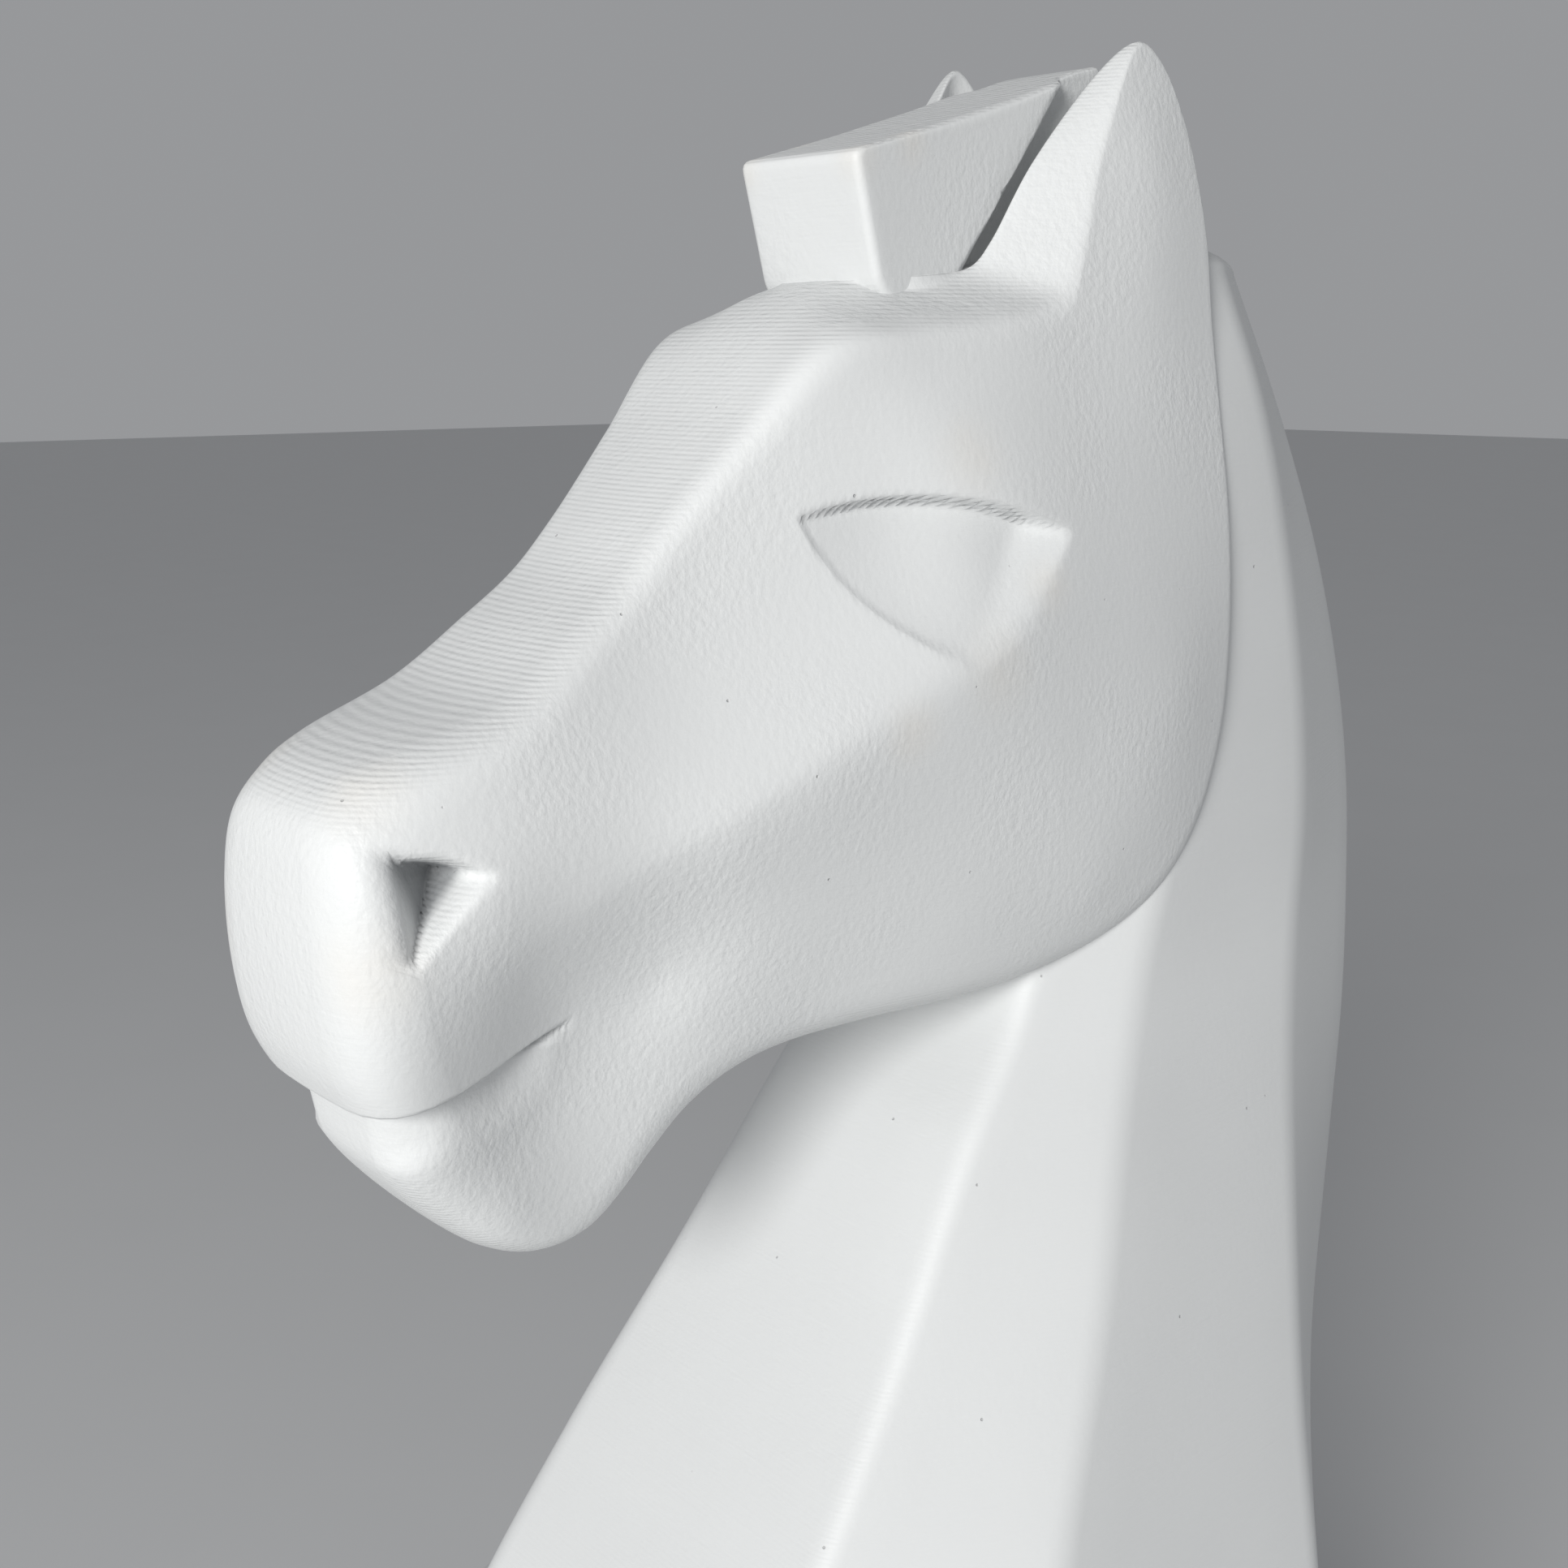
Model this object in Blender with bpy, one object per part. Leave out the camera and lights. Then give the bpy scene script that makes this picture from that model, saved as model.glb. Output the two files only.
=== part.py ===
"""Knight piece for a garden set: printed hollow sections on a weighted turned pedestal.

Sizes are in millimetres in the constants and are turned to metres once, in solid().
The horse faces -Y, its left side is +X, the base stands on Z = 0.
"""

import bmesh
import bpy
import numpy as np

MM = 0.001
GAP = 0.3                # clearance between separate pieces
WALL = 3.0               # printed wall of the neck
HEAD_WALL = 4.6          # printed wall of the head, thicker for its recesses
FLOOR = 5.0              # floor of the neck section
BOLT_R = 4.0             # centre bolt, M8
SCREW_R = 1.9            # cover screws, M4
SCREW_RING = 78.0        # radius the cover screws stand on
PLUG_Z = 33.0            # height of the filler plug's axis

BASE_R = 94.0            # foot of the pedestal
BASE_TOP = 52.0          # top of the pedestal section
COLLAR_TOP = 72.0        # top of the collar ring

RIM_ROUND = 5.0          # softness of the head's long edges
HEAD_U = 108             # points round the head outline
TURN = 60                # points round a turned piece

# Head outline in side view (y, z), clockwise from the forehead corner.
HEAD_OUTLINE = (
    (-25.2, 274.8), (-35.4, 264.8), (-45.1, 254.9), (-51.2, 248.7), (-57.5, 243.9), (-67.4, 238.2),
    (-78.4, 233.7), (-84.1, 231.5), (-87.4, 227.0), (-88.4, 219.6), (-87.5, 210.5), (-86.4, 202.3),
    (-83.9, 196.0), (-79.6, 187.8), (-74.0, 180.4), (-67.8, 175.6), (-61.6, 173.4), (-57.0, 174.4),
    (-54.0, 177.8), (-50.1, 182.9), (-45.1, 188.1), (-37.6, 190.9), (-28.0, 192.2), (-15.0, 191.9),
    (-2.0, 191.1), (9.0, 191.8), (19.0, 194.6), (28.0, 200.4), (34.6, 209.8), (38.2, 221.0),
    (39.6, 235.0), (39.6, 250.0), (38.6, 266.0), (35.6, 278.0), (26.0, 284.0), (12.0, 284.4),
    (0.0, 282.8), (-13.0, 280.2),
)
# Medial line of the head in side view, muzzle end then poll end.
HEAD_CORE = ((-59.5, 204.0), (12.0, 238.0))
# Half width of the head: (y, z, x) on the long edges, the cheek and the jaw.
HEAD_WIDTHS = (
    (-25.2, 274.6, 17.2), (-35.4, 264.8, 15.6), (-45.1, 254.9, 14.4), (-51.2, 248.7, 14.6),
    (-62.0, 241.0, 15.0), (-72.6, 236.4, 14.2), (-80.6, 233.2, 12.4), (-85.2, 230.6, 11.2),
    (-88.2, 225.0, 12.4), (-88.2, 217.0, 14.8), (-87.0, 209.0, 16.4), (-85.2, 198.0, 15.6),
    (-72.0, 218.0, 17.2), (-73.0, 201.0, 16.0), (-60.9, 217.4, 18.6), (-62.0, 202.0, 15.8),
    (-66.0, 209.0, 16.6), (-79.0, 187.0, 13.0), (-67.0, 181.0, 11.6), (-60.0, 174.0, 9.0),
    (-50.0, 185.0, 12.8), (-64.0, 191.0, 14.2), (-44.7, 221.9, 22.2), (-45.0, 200.0, 17.0),
    (-34.0, 226.9, 24.2), (-30.0, 203.0, 20.0), (-28.0, 192.0, 16.0), (-22.7, 232.0, 25.8),
    (-12.2, 238.1, 27.2), (-10.0, 206.0, 24.8), (-8.0, 191.0, 20.4), (-28.0, 256.0, 20.4),
    (-12.0, 258.0, 23.8), (4.0, 252.0, 26.0), (-12.0, 280.0, 18.4), (6.0, 282.0, 19.4),
    (12.0, 268.0, 22.8), (8.0, 226.0, 28.2), (12.0, 204.0, 27.2), (14.0, 193.0, 23.6),
    (28.0, 203.0, 26.2), (25.0, 230.0, 28.2), (39.0, 235.0, 26.4), (37.4, 218.0, 26.4),
    (39.0, 255.0, 24.8), (36.6, 277.0, 21.0), (24.0, 284.0, 20.0),
)
# Soft crease from the lower corner of the eye to the muzzle.
CREASE = ((-10.0, 239.0), (-62.0, 216.4))
CREASE_DROP = (0.16, 0.40)    # slope of the drop above the crease and below it
MUZZLE_WALL = 0.9        # how much thicker, as a share, the wall is round the nostrils

# Ear sections: height, then ridge, slot, inner rear and outer rear corners (x, y).
EAR_SECTIONS = (
    (274.0, (19.0, 6.5), (11.0, -2.0), (11.0, 32.0), (20.8, 35.0)),
    (283.0, (19.4, 11.2), (12.2, 2.8), (11.4, 34.0), (20.2, 37.0)),
    (296.0, (17.8, 17.4), (12.8, 12.4), (12.0, 34.4), (18.6, 35.8)),
    (306.0, (16.6, 23.4), (13.6, 20.8), (13.2, 31.0), (17.2, 32.6)),
    (310.8, (15.9, 26.2), (14.9, 25.4), (14.8, 29.0), (16.0, 29.2)),
)

# Forelock block in side view (y, z) and its half width.
FORELOCK_SIDE = (
    (-16.4, 295.2), (-12.6, 281.2), (2.0, 285.4), (20.0, 285.4), (30.0, 285.4),
    (31.0, 309.6), (26.0, 308.6), (12.0, 304.0),
)
FORELOCK_HALF = 10.0

# Neck sections: height, then front y, front half width, shoulder (x, y),
# flank (x, y), back half width, back y.
NECK_SECTIONS = (
    (72.0, -66.0, 27.3, (61.0, -25.3), (61.0, 25.3), 27.3, 66.0),
    (84.0, -64.0, 27.4, (55.5, -22.0), (57.0, 33.0), 25.6, 72.0),
    (100.0, -56.0, 27.0, (49.0, -19.0), (50.0, 40.0), 23.4, 77.4),
    (124.0, -38.5, 25.6, (42.0, -9.0), (42.6, 44.6), 21.4, 81.8),
    (150.0, -19.0, 22.2, (34.5, 6.5), (35.4, 50.4), 20.0, 85.8),
    (172.0, -4.0, 19.2, (28.4, 17.0), (29.4, 56.0), 19.0, 88.6),
    (188.0, 8.0, 17.4, (25.0, 24.0), (26.8, 59.0), 18.0, 89.3),
    (209.0, 14.0, 16.0, (23.9, 27.0), (25.4, 60.6), 16.4, 88.9),
    (242.0, 16.0, 14.0, (22.6, 27.0), (23.2, 56.0), 14.2, 79.9),
    (268.0, 18.0, 12.0, (20.4, 28.0), (20.8, 49.0), 12.2, 66.2),
    (284.0, 20.0, 10.0, (15.6, 28.0), (16.4, 42.0), 9.4, 54.4),
)
NECK_ROUND = 2.6         # softness of the neck's facet edges


def solid(name, verts, faces, color, rough, metal=0.0, smooth=False):
    """Make one named object with its own material from millimetre vertices."""
    mesh = bpy.data.meshes.new(name)
    mesh.from_pydata([tuple(float(c) * MM for c in v) for v in verts], [], [tuple(f) for f in faces])
    work = bmesh.new()
    work.from_mesh(mesh)
    bmesh.ops.remove_doubles(work, verts=work.verts, dist=2e-6)
    bmesh.ops.recalc_face_normals(work, faces=work.faces)
    work.to_mesh(mesh)
    work.free()
    for polygon in mesh.polygons:
        polygon.use_smooth = smooth
    obj = bpy.data.objects.new(name, mesh)
    bpy.context.scene.collection.objects.link(obj)
    if color is not None:
        paint(obj, color, rough, metal)
    return obj


def paint(obj, color, rough, metal=0.0):
    """Give the object its own Principled material."""
    material = bpy.data.materials.new(obj.name + "_finish")
    material.use_nodes = True
    shader = material.node_tree.nodes["Principled BSDF"]
    shader.inputs["Base Color"].default_value = (*color, 1.0)
    shader.inputs["Roughness"].default_value = rough
    shader.inputs["Metallic"].default_value = metal
    obj.data.materials.clear()
    obj.data.materials.append(material)


def boolean(obj, other, operation):
    """Apply an exact Boolean of obj with other, and drop other."""
    modifier = obj.modifiers.new("cut", "BOOLEAN")
    modifier.operation = operation
    modifier.solver = "EXACT"
    modifier.object = other
    graph = bpy.context.evaluated_depsgraph_get()
    mesh = bpy.data.meshes.new_from_object(obj.evaluated_get(graph))
    obj.modifiers.remove(modifier)
    obj.data = mesh
    bpy.data.objects.remove(other)


def rings_to_faces(rows, count, closed=True):
    """Quads between consecutive rings of count points each."""
    faces = []
    for row in range(rows - 1):
        for i in range(count if closed else count - 1):
            j = (i + 1) % count
            faces.append((row * count + i, row * count + j, (row + 1) * count + j, (row + 1) * count + i))
    return faces


def turned(name, profile, color, rough, metal=0.0, axis="Z", centre=(0.0, 0.0, 0.0), count=TURN, smooth=True):
    """Closed profile of (radius, height) turned round an axis through centre."""
    profile = np.array(profile, float)
    angle = np.arange(count) * 2.0 * np.pi / count
    rows = []
    for radius, height in profile:
        a = radius * np.cos(angle)
        b = radius * np.sin(angle)
        h = np.full(count, height)
        if axis == "Z":
            rows.append(np.stack([a, b, h], 1))
        else:
            rows.append(np.stack([a, h, b], 1))
    verts = np.concatenate(rows) + np.array(centre)
    faces = rings_to_faces(len(profile), count)
    last = len(profile) - 1
    faces += [
        (last * count + i, last * count + (i + 1) % count, (i + 1) % count, i) for i in range(count)
    ]
    return solid(name, verts, faces, color, rough, metal, smooth)


def rod(name, radius, low, high, color, rough, metal=0.0, sides=32, axis="Z", centre=(0.0, 0.0, 0.0), smooth=True):
    """Plain cylinder or prism with its ends closed."""
    angle = np.arange(sides) * 2.0 * np.pi / sides
    a = radius * np.cos(angle)
    b = radius * np.sin(angle)
    rows = []
    for h in (low, high):
        line = np.full(sides, h)
        rows.append(np.stack([a, b, line], 1) if axis == "Z" else np.stack([a, line, b], 1))
    verts = np.concatenate(rows) + np.array(centre)
    faces = rings_to_faces(2, sides) + [tuple(range(sides)), tuple(range(sides, 2 * sides))]
    return solid(name, verts, faces, color, rough, metal, smooth)


def curve_through(points, count):
    """Closed centripetal-like spline through points, sampled evenly by length."""
    p = np.array(points, float)
    n = len(p)
    t = np.linspace(0.0, n, n * 24, endpoint=False)
    i = np.floor(t).astype(int)
    f = (t - i)[:, None]
    a, b, c, d = p[(i - 1) % n], p[i % n], p[(i + 1) % n], p[(i + 2) % n]
    q = 0.5 * (2 * b + (c - a) * f + (2 * a - 5 * b + 4 * c - d) * f**2 + (3 * b - a - 3 * c + d) * f**3)
    step = np.hypot(*np.diff(np.vstack([q, q[:1]]), axis=0).T)
    s = np.concatenate([[0.0], np.cumsum(step)])
    want = np.linspace(0.0, s[-1], count, endpoint=False)
    closed = np.vstack([q, q[:1]])
    return np.stack([np.interp(want, s, closed[:, k]) for k in (0, 1)], 1)


def thin_plate(points):
    """Smooth surface of least bending through (y, z, x) points, as a function of y and z."""
    p = np.array(points, float)

    def kernel(r2):
        return 0.5 * r2 * np.log(np.maximum(r2, 1e-9))

    r2 = ((p[:, None, :2] - p[None, :, :2]) ** 2).sum(-1)
    size = len(p)
    system = np.zeros((size + 3, size + 3))
    system[:size, :size] = kernel(r2) + 8.0 * np.eye(size)
    system[:size, size] = system[size, :size] = 1.0
    system[:size, size + 1:] = p[:, :2]
    system[size + 1:, :size] = p[:, :2].T
    weights = np.linalg.solve(system, np.concatenate([p[:, 2], np.zeros(3)]))

    def height(y, z):
        r2 = (y[..., None] - p[:, 0]) ** 2 + (z[..., None] - p[:, 1]) ** 2
        return kernel(r2) @ weights[:size] + weights[size] + weights[size + 1] * y + weights[size + 2] * z

    return height


def crease(y, z):
    """Drop away from the crease line on both sides, fading past its ends."""
    a, b = np.array(CREASE)
    along = (b - a) / np.hypot(*(b - a))
    u = (y - a[0]) * along[0] + (z - a[1]) * along[1]
    d = -(y - a[0]) * along[1] + (z - a[1]) * along[0]
    length = np.hypot(*(b - a))
    window = 1.0 / (1.0 + np.exp(-(u + 2.0) / 4.0)) / (1.0 + np.exp((u - length + 12.0) / 8.0))
    near = np.sqrt(d**2 + 4.0) - 2.0
    return -np.where(d > 0.0, *CREASE_DROP) * near * np.exp(-(d / 22.0) ** 2) * window


def head_mesh(inset, count, rim_steps, side_steps):
    """Rim band and two domed sides of the head, inset inwards by a wall."""
    width = thin_plate(HEAD_WIDTHS)
    line = curve_through(HEAD_OUTLINE, count)
    tangent = np.roll(line, -1, 0) - np.roll(line, 1, 0)
    tangent /= np.hypot(*tangent.T)[:, None]
    inward = np.stack([tangent[:, 1], -tangent[:, 0]], 1)
    middle = line.mean(0)
    if ((middle - line) * inward).sum() < 0:
        inward = -inward
    line = line + inward * inset
    a, b = np.array(HEAD_CORE)
    share = np.clip(((line - a) @ (b - a)) / ((b - a) @ (b - a)), 0.0, 1.0)
    core = a + share[:, None] * (b - a)
    rows = []

    def side(y, z):
        wall = inset * (1.0 + MUZZLE_WALL * np.clip((-58.0 - y) / 12.0, 0.0, 1.0)) if inset > 0.0 else inset
        return np.maximum(width(y, z) + crease(y, z) - wall, 1.0)

    edge = side(line[:, 0], line[:, 1])
    soft = np.minimum(RIM_ROUND, 0.6 * edge)
    for f in np.linspace(0.0, 1.0, rim_steps, endpoint=False):
        rows.append(np.stack([f * (edge - soft), line[:, 0], line[:, 1]], 1))
    for angle in np.linspace(0.0, np.pi / 2, 4):
        q = line + (core - line) * (soft * (1 - np.cos(angle)) / np.hypot(*(core - line).T))[:, None]
        w = side(q[:, 0], q[:, 1]) - soft * (1 - np.sin(angle))
        rows.append(np.stack([w, q[:, 0], q[:, 1]], 1))
    start = soft / np.hypot(*(core - line).T)
    for f in np.linspace(0.0, 1.0, side_steps + 1)[1:]:
        q = line + (core - line) * (start + (1 - start) * f)[:, None]
        rows.append(np.stack([side(q[:, 0], q[:, 1]), q[:, 0], q[:, 1]], 1))
    half = np.concatenate(rows)
    other = np.concatenate(rows[1:][::-1]) * np.array([-1.0, 1.0, 1.0])
    verts = np.concatenate([other, half])
    total = 2 * len(rows) - 1
    return verts, rings_to_faces(total, count)


def capped(name, verts, faces, color=None, rough=0.5):
    """Object whose holes along the core line are closed after welding."""
    obj = solid(name, verts, faces, color, rough, smooth=True)
    work = bmesh.new()
    work.from_mesh(obj.data)
    bmesh.ops.remove_doubles(work, verts=work.verts, dist=2e-5)
    bmesh.ops.holes_fill(work, edges=[e for e in work.edges if e.is_boundary], sides=0)
    bmesh.ops.triangulate(work, faces=work.faces)
    bmesh.ops.recalc_face_normals(work, faces=work.faces)
    work.to_mesh(obj.data)
    work.free()
    return obj


def rounded_polygon(corners, radius, steps):
    """Replace each corner of a closed polygon by a small arc-like curve."""
    c = np.array(corners, float)
    before = np.roll(c, 1, 0) - c
    after = np.roll(c, -1, 0) - c
    reach_b = np.minimum(radius, 0.45 * np.hypot(*before.T))[:, None]
    reach_a = np.minimum(radius, 0.45 * np.hypot(*after.T))[:, None]
    start = c + before / np.hypot(*before.T)[:, None] * reach_b
    end = c + after / np.hypot(*after.T)[:, None] * reach_a
    points = []
    for i in range(len(c)):
        for f in np.linspace(0.0, 1.0, steps):
            points.append((1 - f) ** 2 * start[i] + 2 * f * (1 - f) * c[i] + f**2 * end[i])
    return np.array(points)


def neck_rows(heights, inset):
    """Sections of the neck at the heights, interpolated between the named ones."""
    table = np.array([
        (h, fy, fx, s[0], s[1], k[0], k[1], bx, by) for h, fy, fx, s, k, bx, by in NECK_SECTIONS
    ])
    slopes = np.gradient(table[:, 1:], table[:, 0], axis=0)
    rows = []
    for h in heights:
        i = int(np.clip(np.searchsorted(table[:, 0], h) - 1, 0, len(table) - 2))
        span = table[i + 1, 0] - table[i, 0]
        t = np.clip((h - table[i, 0]) / span, 0.0, 1.0)
        v = (
            (2 * t**3 - 3 * t**2 + 1) * table[i, 1:] + (t**3 - 2 * t**2 + t) * span * slopes[i]
            + (3 * t**2 - 2 * t**3) * table[i + 1, 1:] + (t**3 - t**2) * span * slopes[i + 1]
        )
        fy, fx, sx, sy, kx, ky, bx, by = v
        corners = np.array([
            (-fx, fy), (fx, fy), (sx, sy), (kx, ky), (bx, by), (-bx, by), (-kx, ky), (-sx, sy)
        ])
        centre = corners.mean(0)
        if inset:
            reach = np.hypot(*(corners - centre).T)[:, None]
            corners = centre + (corners - centre) * (1.0 - inset * 1.12 / reach)
        soft = NECK_ROUND + 18.0 * np.clip((COLLAR_TOP + 16.0 - h) / 16.0, 0.0, 1.0)
        ring = rounded_polygon(corners, soft, 4)
        rows.append(np.column_stack([ring, np.full(len(ring), h)]))
    return rows


def neck_mesh(heights, inset, crown):
    """Closed loft of the neck, with a low crown over the top section."""
    rows = neck_rows(heights, inset)
    count = len(rows[0])
    top = rows[-1]
    middle = top.mean(0)
    for share, rise in ((0.82, 0.72), (0.45, 1.0)):
        ring = middle + (top - middle) * share
        ring[:, 2] = top[0, 2] + crown * rise
        rows.append(ring)
    verts = np.concatenate(rows)
    faces = rings_to_faces(len(rows), count)
    faces.append(tuple(range(count)))
    last = (len(rows) - 1) * count
    faces.append(tuple(range(last, last + count)))
    return verts, faces


def recess(name, outline, side, depth, taper):
    """Cutter over a (y, z) outline whose floor follows the side of the head at a depth."""
    width = thin_plate(HEAD_WIDTHS)
    q = np.array(outline, float)
    middle = q.mean(0)
    low = middle + (q - middle) * taper
    count = len(q)

    def place(points, out):
        x = width(points[:, 0], points[:, 1]) + crease(points[:, 0], points[:, 1]) + out
        return np.column_stack([side * x, points])

    floor = place(low, -depth)
    mouth = place(middle + (q - middle) * 1.12, 6.0)
    verts = np.concatenate([floor, place(q, 0.0), mouth, place(middle[None, :], -depth), place(middle[None, :], 6.0)])
    faces = rings_to_faces(3, count)
    faces += [(i, (i + 1) % count, 3 * count) for i in range(count)]
    faces += [(2 * count + i, 2 * count + (i + 1) % count, 3 * count + 1) for i in range(count)]
    return solid(name, verts, faces, None, 0.5)


def prism(name, outline, low, high, taper=1.0):
    """Prism along X between two x values over a (y, z) outline, its inner end tapered."""
    q = np.array(outline, float)
    middle = q.mean(0)
    inner = middle + (q - middle) * taper
    near = np.column_stack([np.full(len(q), high), q])
    far = np.column_stack([np.full(len(q), low), inner])
    verts = np.concatenate([far, near])
    count = len(q)
    faces = rings_to_faces(2, count) + [tuple(range(count)), tuple(range(count, 2 * count))]
    return solid(name, verts, faces, None, 0.5)


WHITE = (0.86, 0.87, 0.87)
STEEL = (0.55, 0.56, 0.58)
BRASS = (0.74, 0.57, 0.26)
RUBBER = (0.03, 0.03, 0.03)
GREY = (0.30, 0.31, 0.32)

EYE_OUTLINE = (
    (-31.0, 255.4), (-22.0, 257.6), (-12.9, 258.0), (-4.0, 256.2), (4.4, 252.4), (2.6, 248.4),
    (-1.6, 244.6), (-7.4, 241.0), (-13.7, 238.6), (-19.4, 241.6), (-25.4, 246.6), (-29.6, 251.6),
)
NOSTRIL_OUTLINE = ((-84.6, 224.8), (-79.4, 225.6), (-73.0, 222.8), (-75.4, 217.8), (-83.2, 212.8), (-85.0, 217.4))
MOUTH_OUTLINE = (
    (-92.0, 194.6), (-92.0, 192.6), (-82.4, 194.6), (-74.0, 196.6), (-66.6, 198.4), (-61.6, 200.6),
    (-66.6, 200.0), (-74.0, 198.2), (-82.4, 196.2),
)


def build_neck():
    """Hollow faceted neck and body, with a floor that the centre bolt clamps."""
    heights = np.concatenate([np.linspace(COLLAR_TOP + GAP, 124.0, 7), np.linspace(134.0, 284.0, 15)])
    verts, faces = neck_mesh(heights, 0.0, 5.6)
    neck = solid("neck_shell", verts, faces, None, 0.5)
    heights = np.linspace(COLLAR_TOP + FLOOR, 276.0, 11)
    verts, faces = neck_mesh(heights, WALL + 0.6, 2.0)
    boolean(neck, solid("neck_core", verts, faces, None, 0.5), "DIFFERENCE")
    hole = rod("bolt_cut", BOLT_R + 0.4, COLLAR_TOP - 6.0, COLLAR_TOP + FLOOR + 6.0, None, 0.5)
    boolean(neck, hole, "DIFFERENCE")
    paint(neck, WHITE, 0.5)
    return neck


def neck_cutter(grow, top):
    """Neck volume grown by the clearance."""
    heights = np.linspace(150.0, 284.0, 18)
    verts, faces = neck_mesh(heights, -grow, top)
    return solid("neck_cutter", verts, faces, None, 0.5)


def ear_solid(side):
    """One ear: four-cornered sections with soft edges, closed at the tip."""
    rows = []
    for height, *corners in EAR_SECTIONS:
        ring = rounded_polygon(corners, 1.6 if height < 310.0 else 0.3, 3)
        rows.append(np.column_stack([ring[:, 0] * side, ring[:, 1], np.full(len(ring), height)]))
    tip = rows[-1].mean(0) + np.array([0.0, 0.0, 0.8])
    verts = np.concatenate(rows + [tip[None, :]])
    count = len(rows[0])
    faces = rings_to_faces(len(rows), count) + [tuple(range(count))]
    last = (len(rows) - 1) * count
    apex = len(verts) - 1
    faces += [(last + i, last + (i + 1) % count, apex) for i in range(count)]
    return solid("ear_cut", verts, faces, None, 0.5)


def build_head():
    """Hollow head with ears, saddle cut for the neck, eye, nostril and mouth recesses."""
    verts, faces = head_mesh(0.0, HEAD_U, 2, 8)
    head = capped("head_shell", verts, faces)
    for side in (-1.0, 1.0):
        boolean(head, ear_solid(side), "UNION")
    verts, faces = head_mesh(HEAD_WALL, 54, 2, 4)
    boolean(head, capped("head_core", verts, faces), "DIFFERENCE")
    boolean(head, neck_cutter(GAP, 5.9), "DIFFERENCE")
    for side in (-1.0, 1.0):
        boolean(head, recess("eye_cut", EYE_OUTLINE, side, 2.6, 0.74), "DIFFERENCE")
        boolean(head, recess("nostril_cut", NOSTRIL_OUTLINE, side, 5.2, 0.4), "DIFFERENCE")
    boolean(head, prism("mouth_cut", MOUTH_OUTLINE, -30.0, 30.0), "DIFFERENCE")
    paint(head, WHITE, 0.5)
    return head


def build_forelock():
    """Square block between the ears, seated on the poll with a glue gap."""
    block = prism("forelock_block", FORELOCK_SIDE, -FORELOCK_HALF, FORELOCK_HALF)
    bevel = block.modifiers.new("soft", "BEVEL")
    bevel.width = 1.4 * MM
    bevel.segments = 3
    bevel.limit_method = "ANGLE"
    graph = bpy.context.evaluated_depsgraph_get()
    block.data = bpy.data.meshes.new_from_object(block.evaluated_get(graph))
    block.modifiers.clear()
    verts, faces = head_mesh(-GAP, 90, 2, 5)
    boolean(block, capped("poll_cut", verts, faces), "DIFFERENCE")
    boolean(block, neck_cutter(2 * GAP, 6.4), "DIFFERENCE")
    paint(block, WHITE, 0.5)


def build_pedestal():
    """Turned base, collar, cover, foot and ballast."""
    outer = [
        (93.0, 2.1), (BASE_R, 3.2), (BASE_R, 9.0), (93.4, 11.0), (91.6, 12.6), (88.6, 13.6), (87.2, 14.6),
        (86.6, 16.4), (84.6, 20.0), (81.4, 24.4), (77.8, 29.0), (74.4, 34.0), (71.8, 39.6), (70.6, 45.0),
        (70.2, 49.4), (69.6, BASE_TOP - 0.8), (68.8, BASE_TOP),
    ]
    inner = [
        (BOLT_R + 0.4, BASE_TOP), (BOLT_R + 0.4, 47.0), (60.0, 47.0), (62.0, 45.0), (64.0, 36.0), (70.0, 24.0),
        (72.0, 19.0), (72.0, 7.6), (84.4, 7.6), (84.4, 2.1),
    ]
    base = turned("base_shell", outer + inner, None, 0.5)
    boss = rod("boss", 11.6, 66.0, 84.0, None, 0.5, axis="Y", centre=(0.0, 0.0, PLUG_Z), sides=40)
    boolean(base, boss, "UNION")
    bore = rod("bore", 8.3, 50.0, 90.0, None, 0.5, axis="Y", centre=(0.0, 0.0, PLUG_Z), sides=40)
    boolean(base, bore, "DIFFERENCE")
    for x, y in screw_places():
        hole = rod("hole", 3.4, 6.0, 14.2, None, 0.5, sides=24, centre=(x, y, 0.0))
        boolean(base, hole, "DIFFERENCE")
    paint(base, WHITE, 0.5)
    turned("collar_ring", [
        (40.0, BASE_TOP + GAP), (69.4, BASE_TOP + GAP), (72.6, 53.6), (76.4, 56.4), (78.4, 59.8), (78.8, 62.2),
        (78.2, 64.8), (76.2, 67.8), (72.6, 70.4), (69.0, COLLAR_TOP - 0.1), (40.0, COLLAR_TOP - 0.1),
    ], WHITE, 0.5)
    turned("foot_ring", [(86.0, 0.4), (86.6, 0.0), (91.9, 0.0), (92.5, 0.4), (92.5, 1.8), (86.0, 1.8)], RUBBER, 0.8)
    turned("ballast_ring", [(16.0, 7.8), (69.4, 7.8), (70.4, 8.8), (70.4, 15.0), (69.4, 16.0), (16.0, 16.0)],
           STEEL, 0.4, 1.0, count=48)
    cover = rod("base_cover", 84.0, 3.2, 7.3, None, 0.5, sides=TURN)
    for x, y in screw_places():
        boolean(cover, rod("hole", SCREW_R + 0.4, 0.0, 12.0, None, 0.5, sides=20, centre=(x, y, 0.0)), "DIFFERENCE")
    paint(cover, GREY, 0.6)


def screw_places():
    """Centres of the four cover screws."""
    angles = np.radians([45.0, 135.0, 225.0, 315.0])
    return [(float(SCREW_RING * np.cos(a)), float(SCREW_RING * np.sin(a))) for a in angles]


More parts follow.
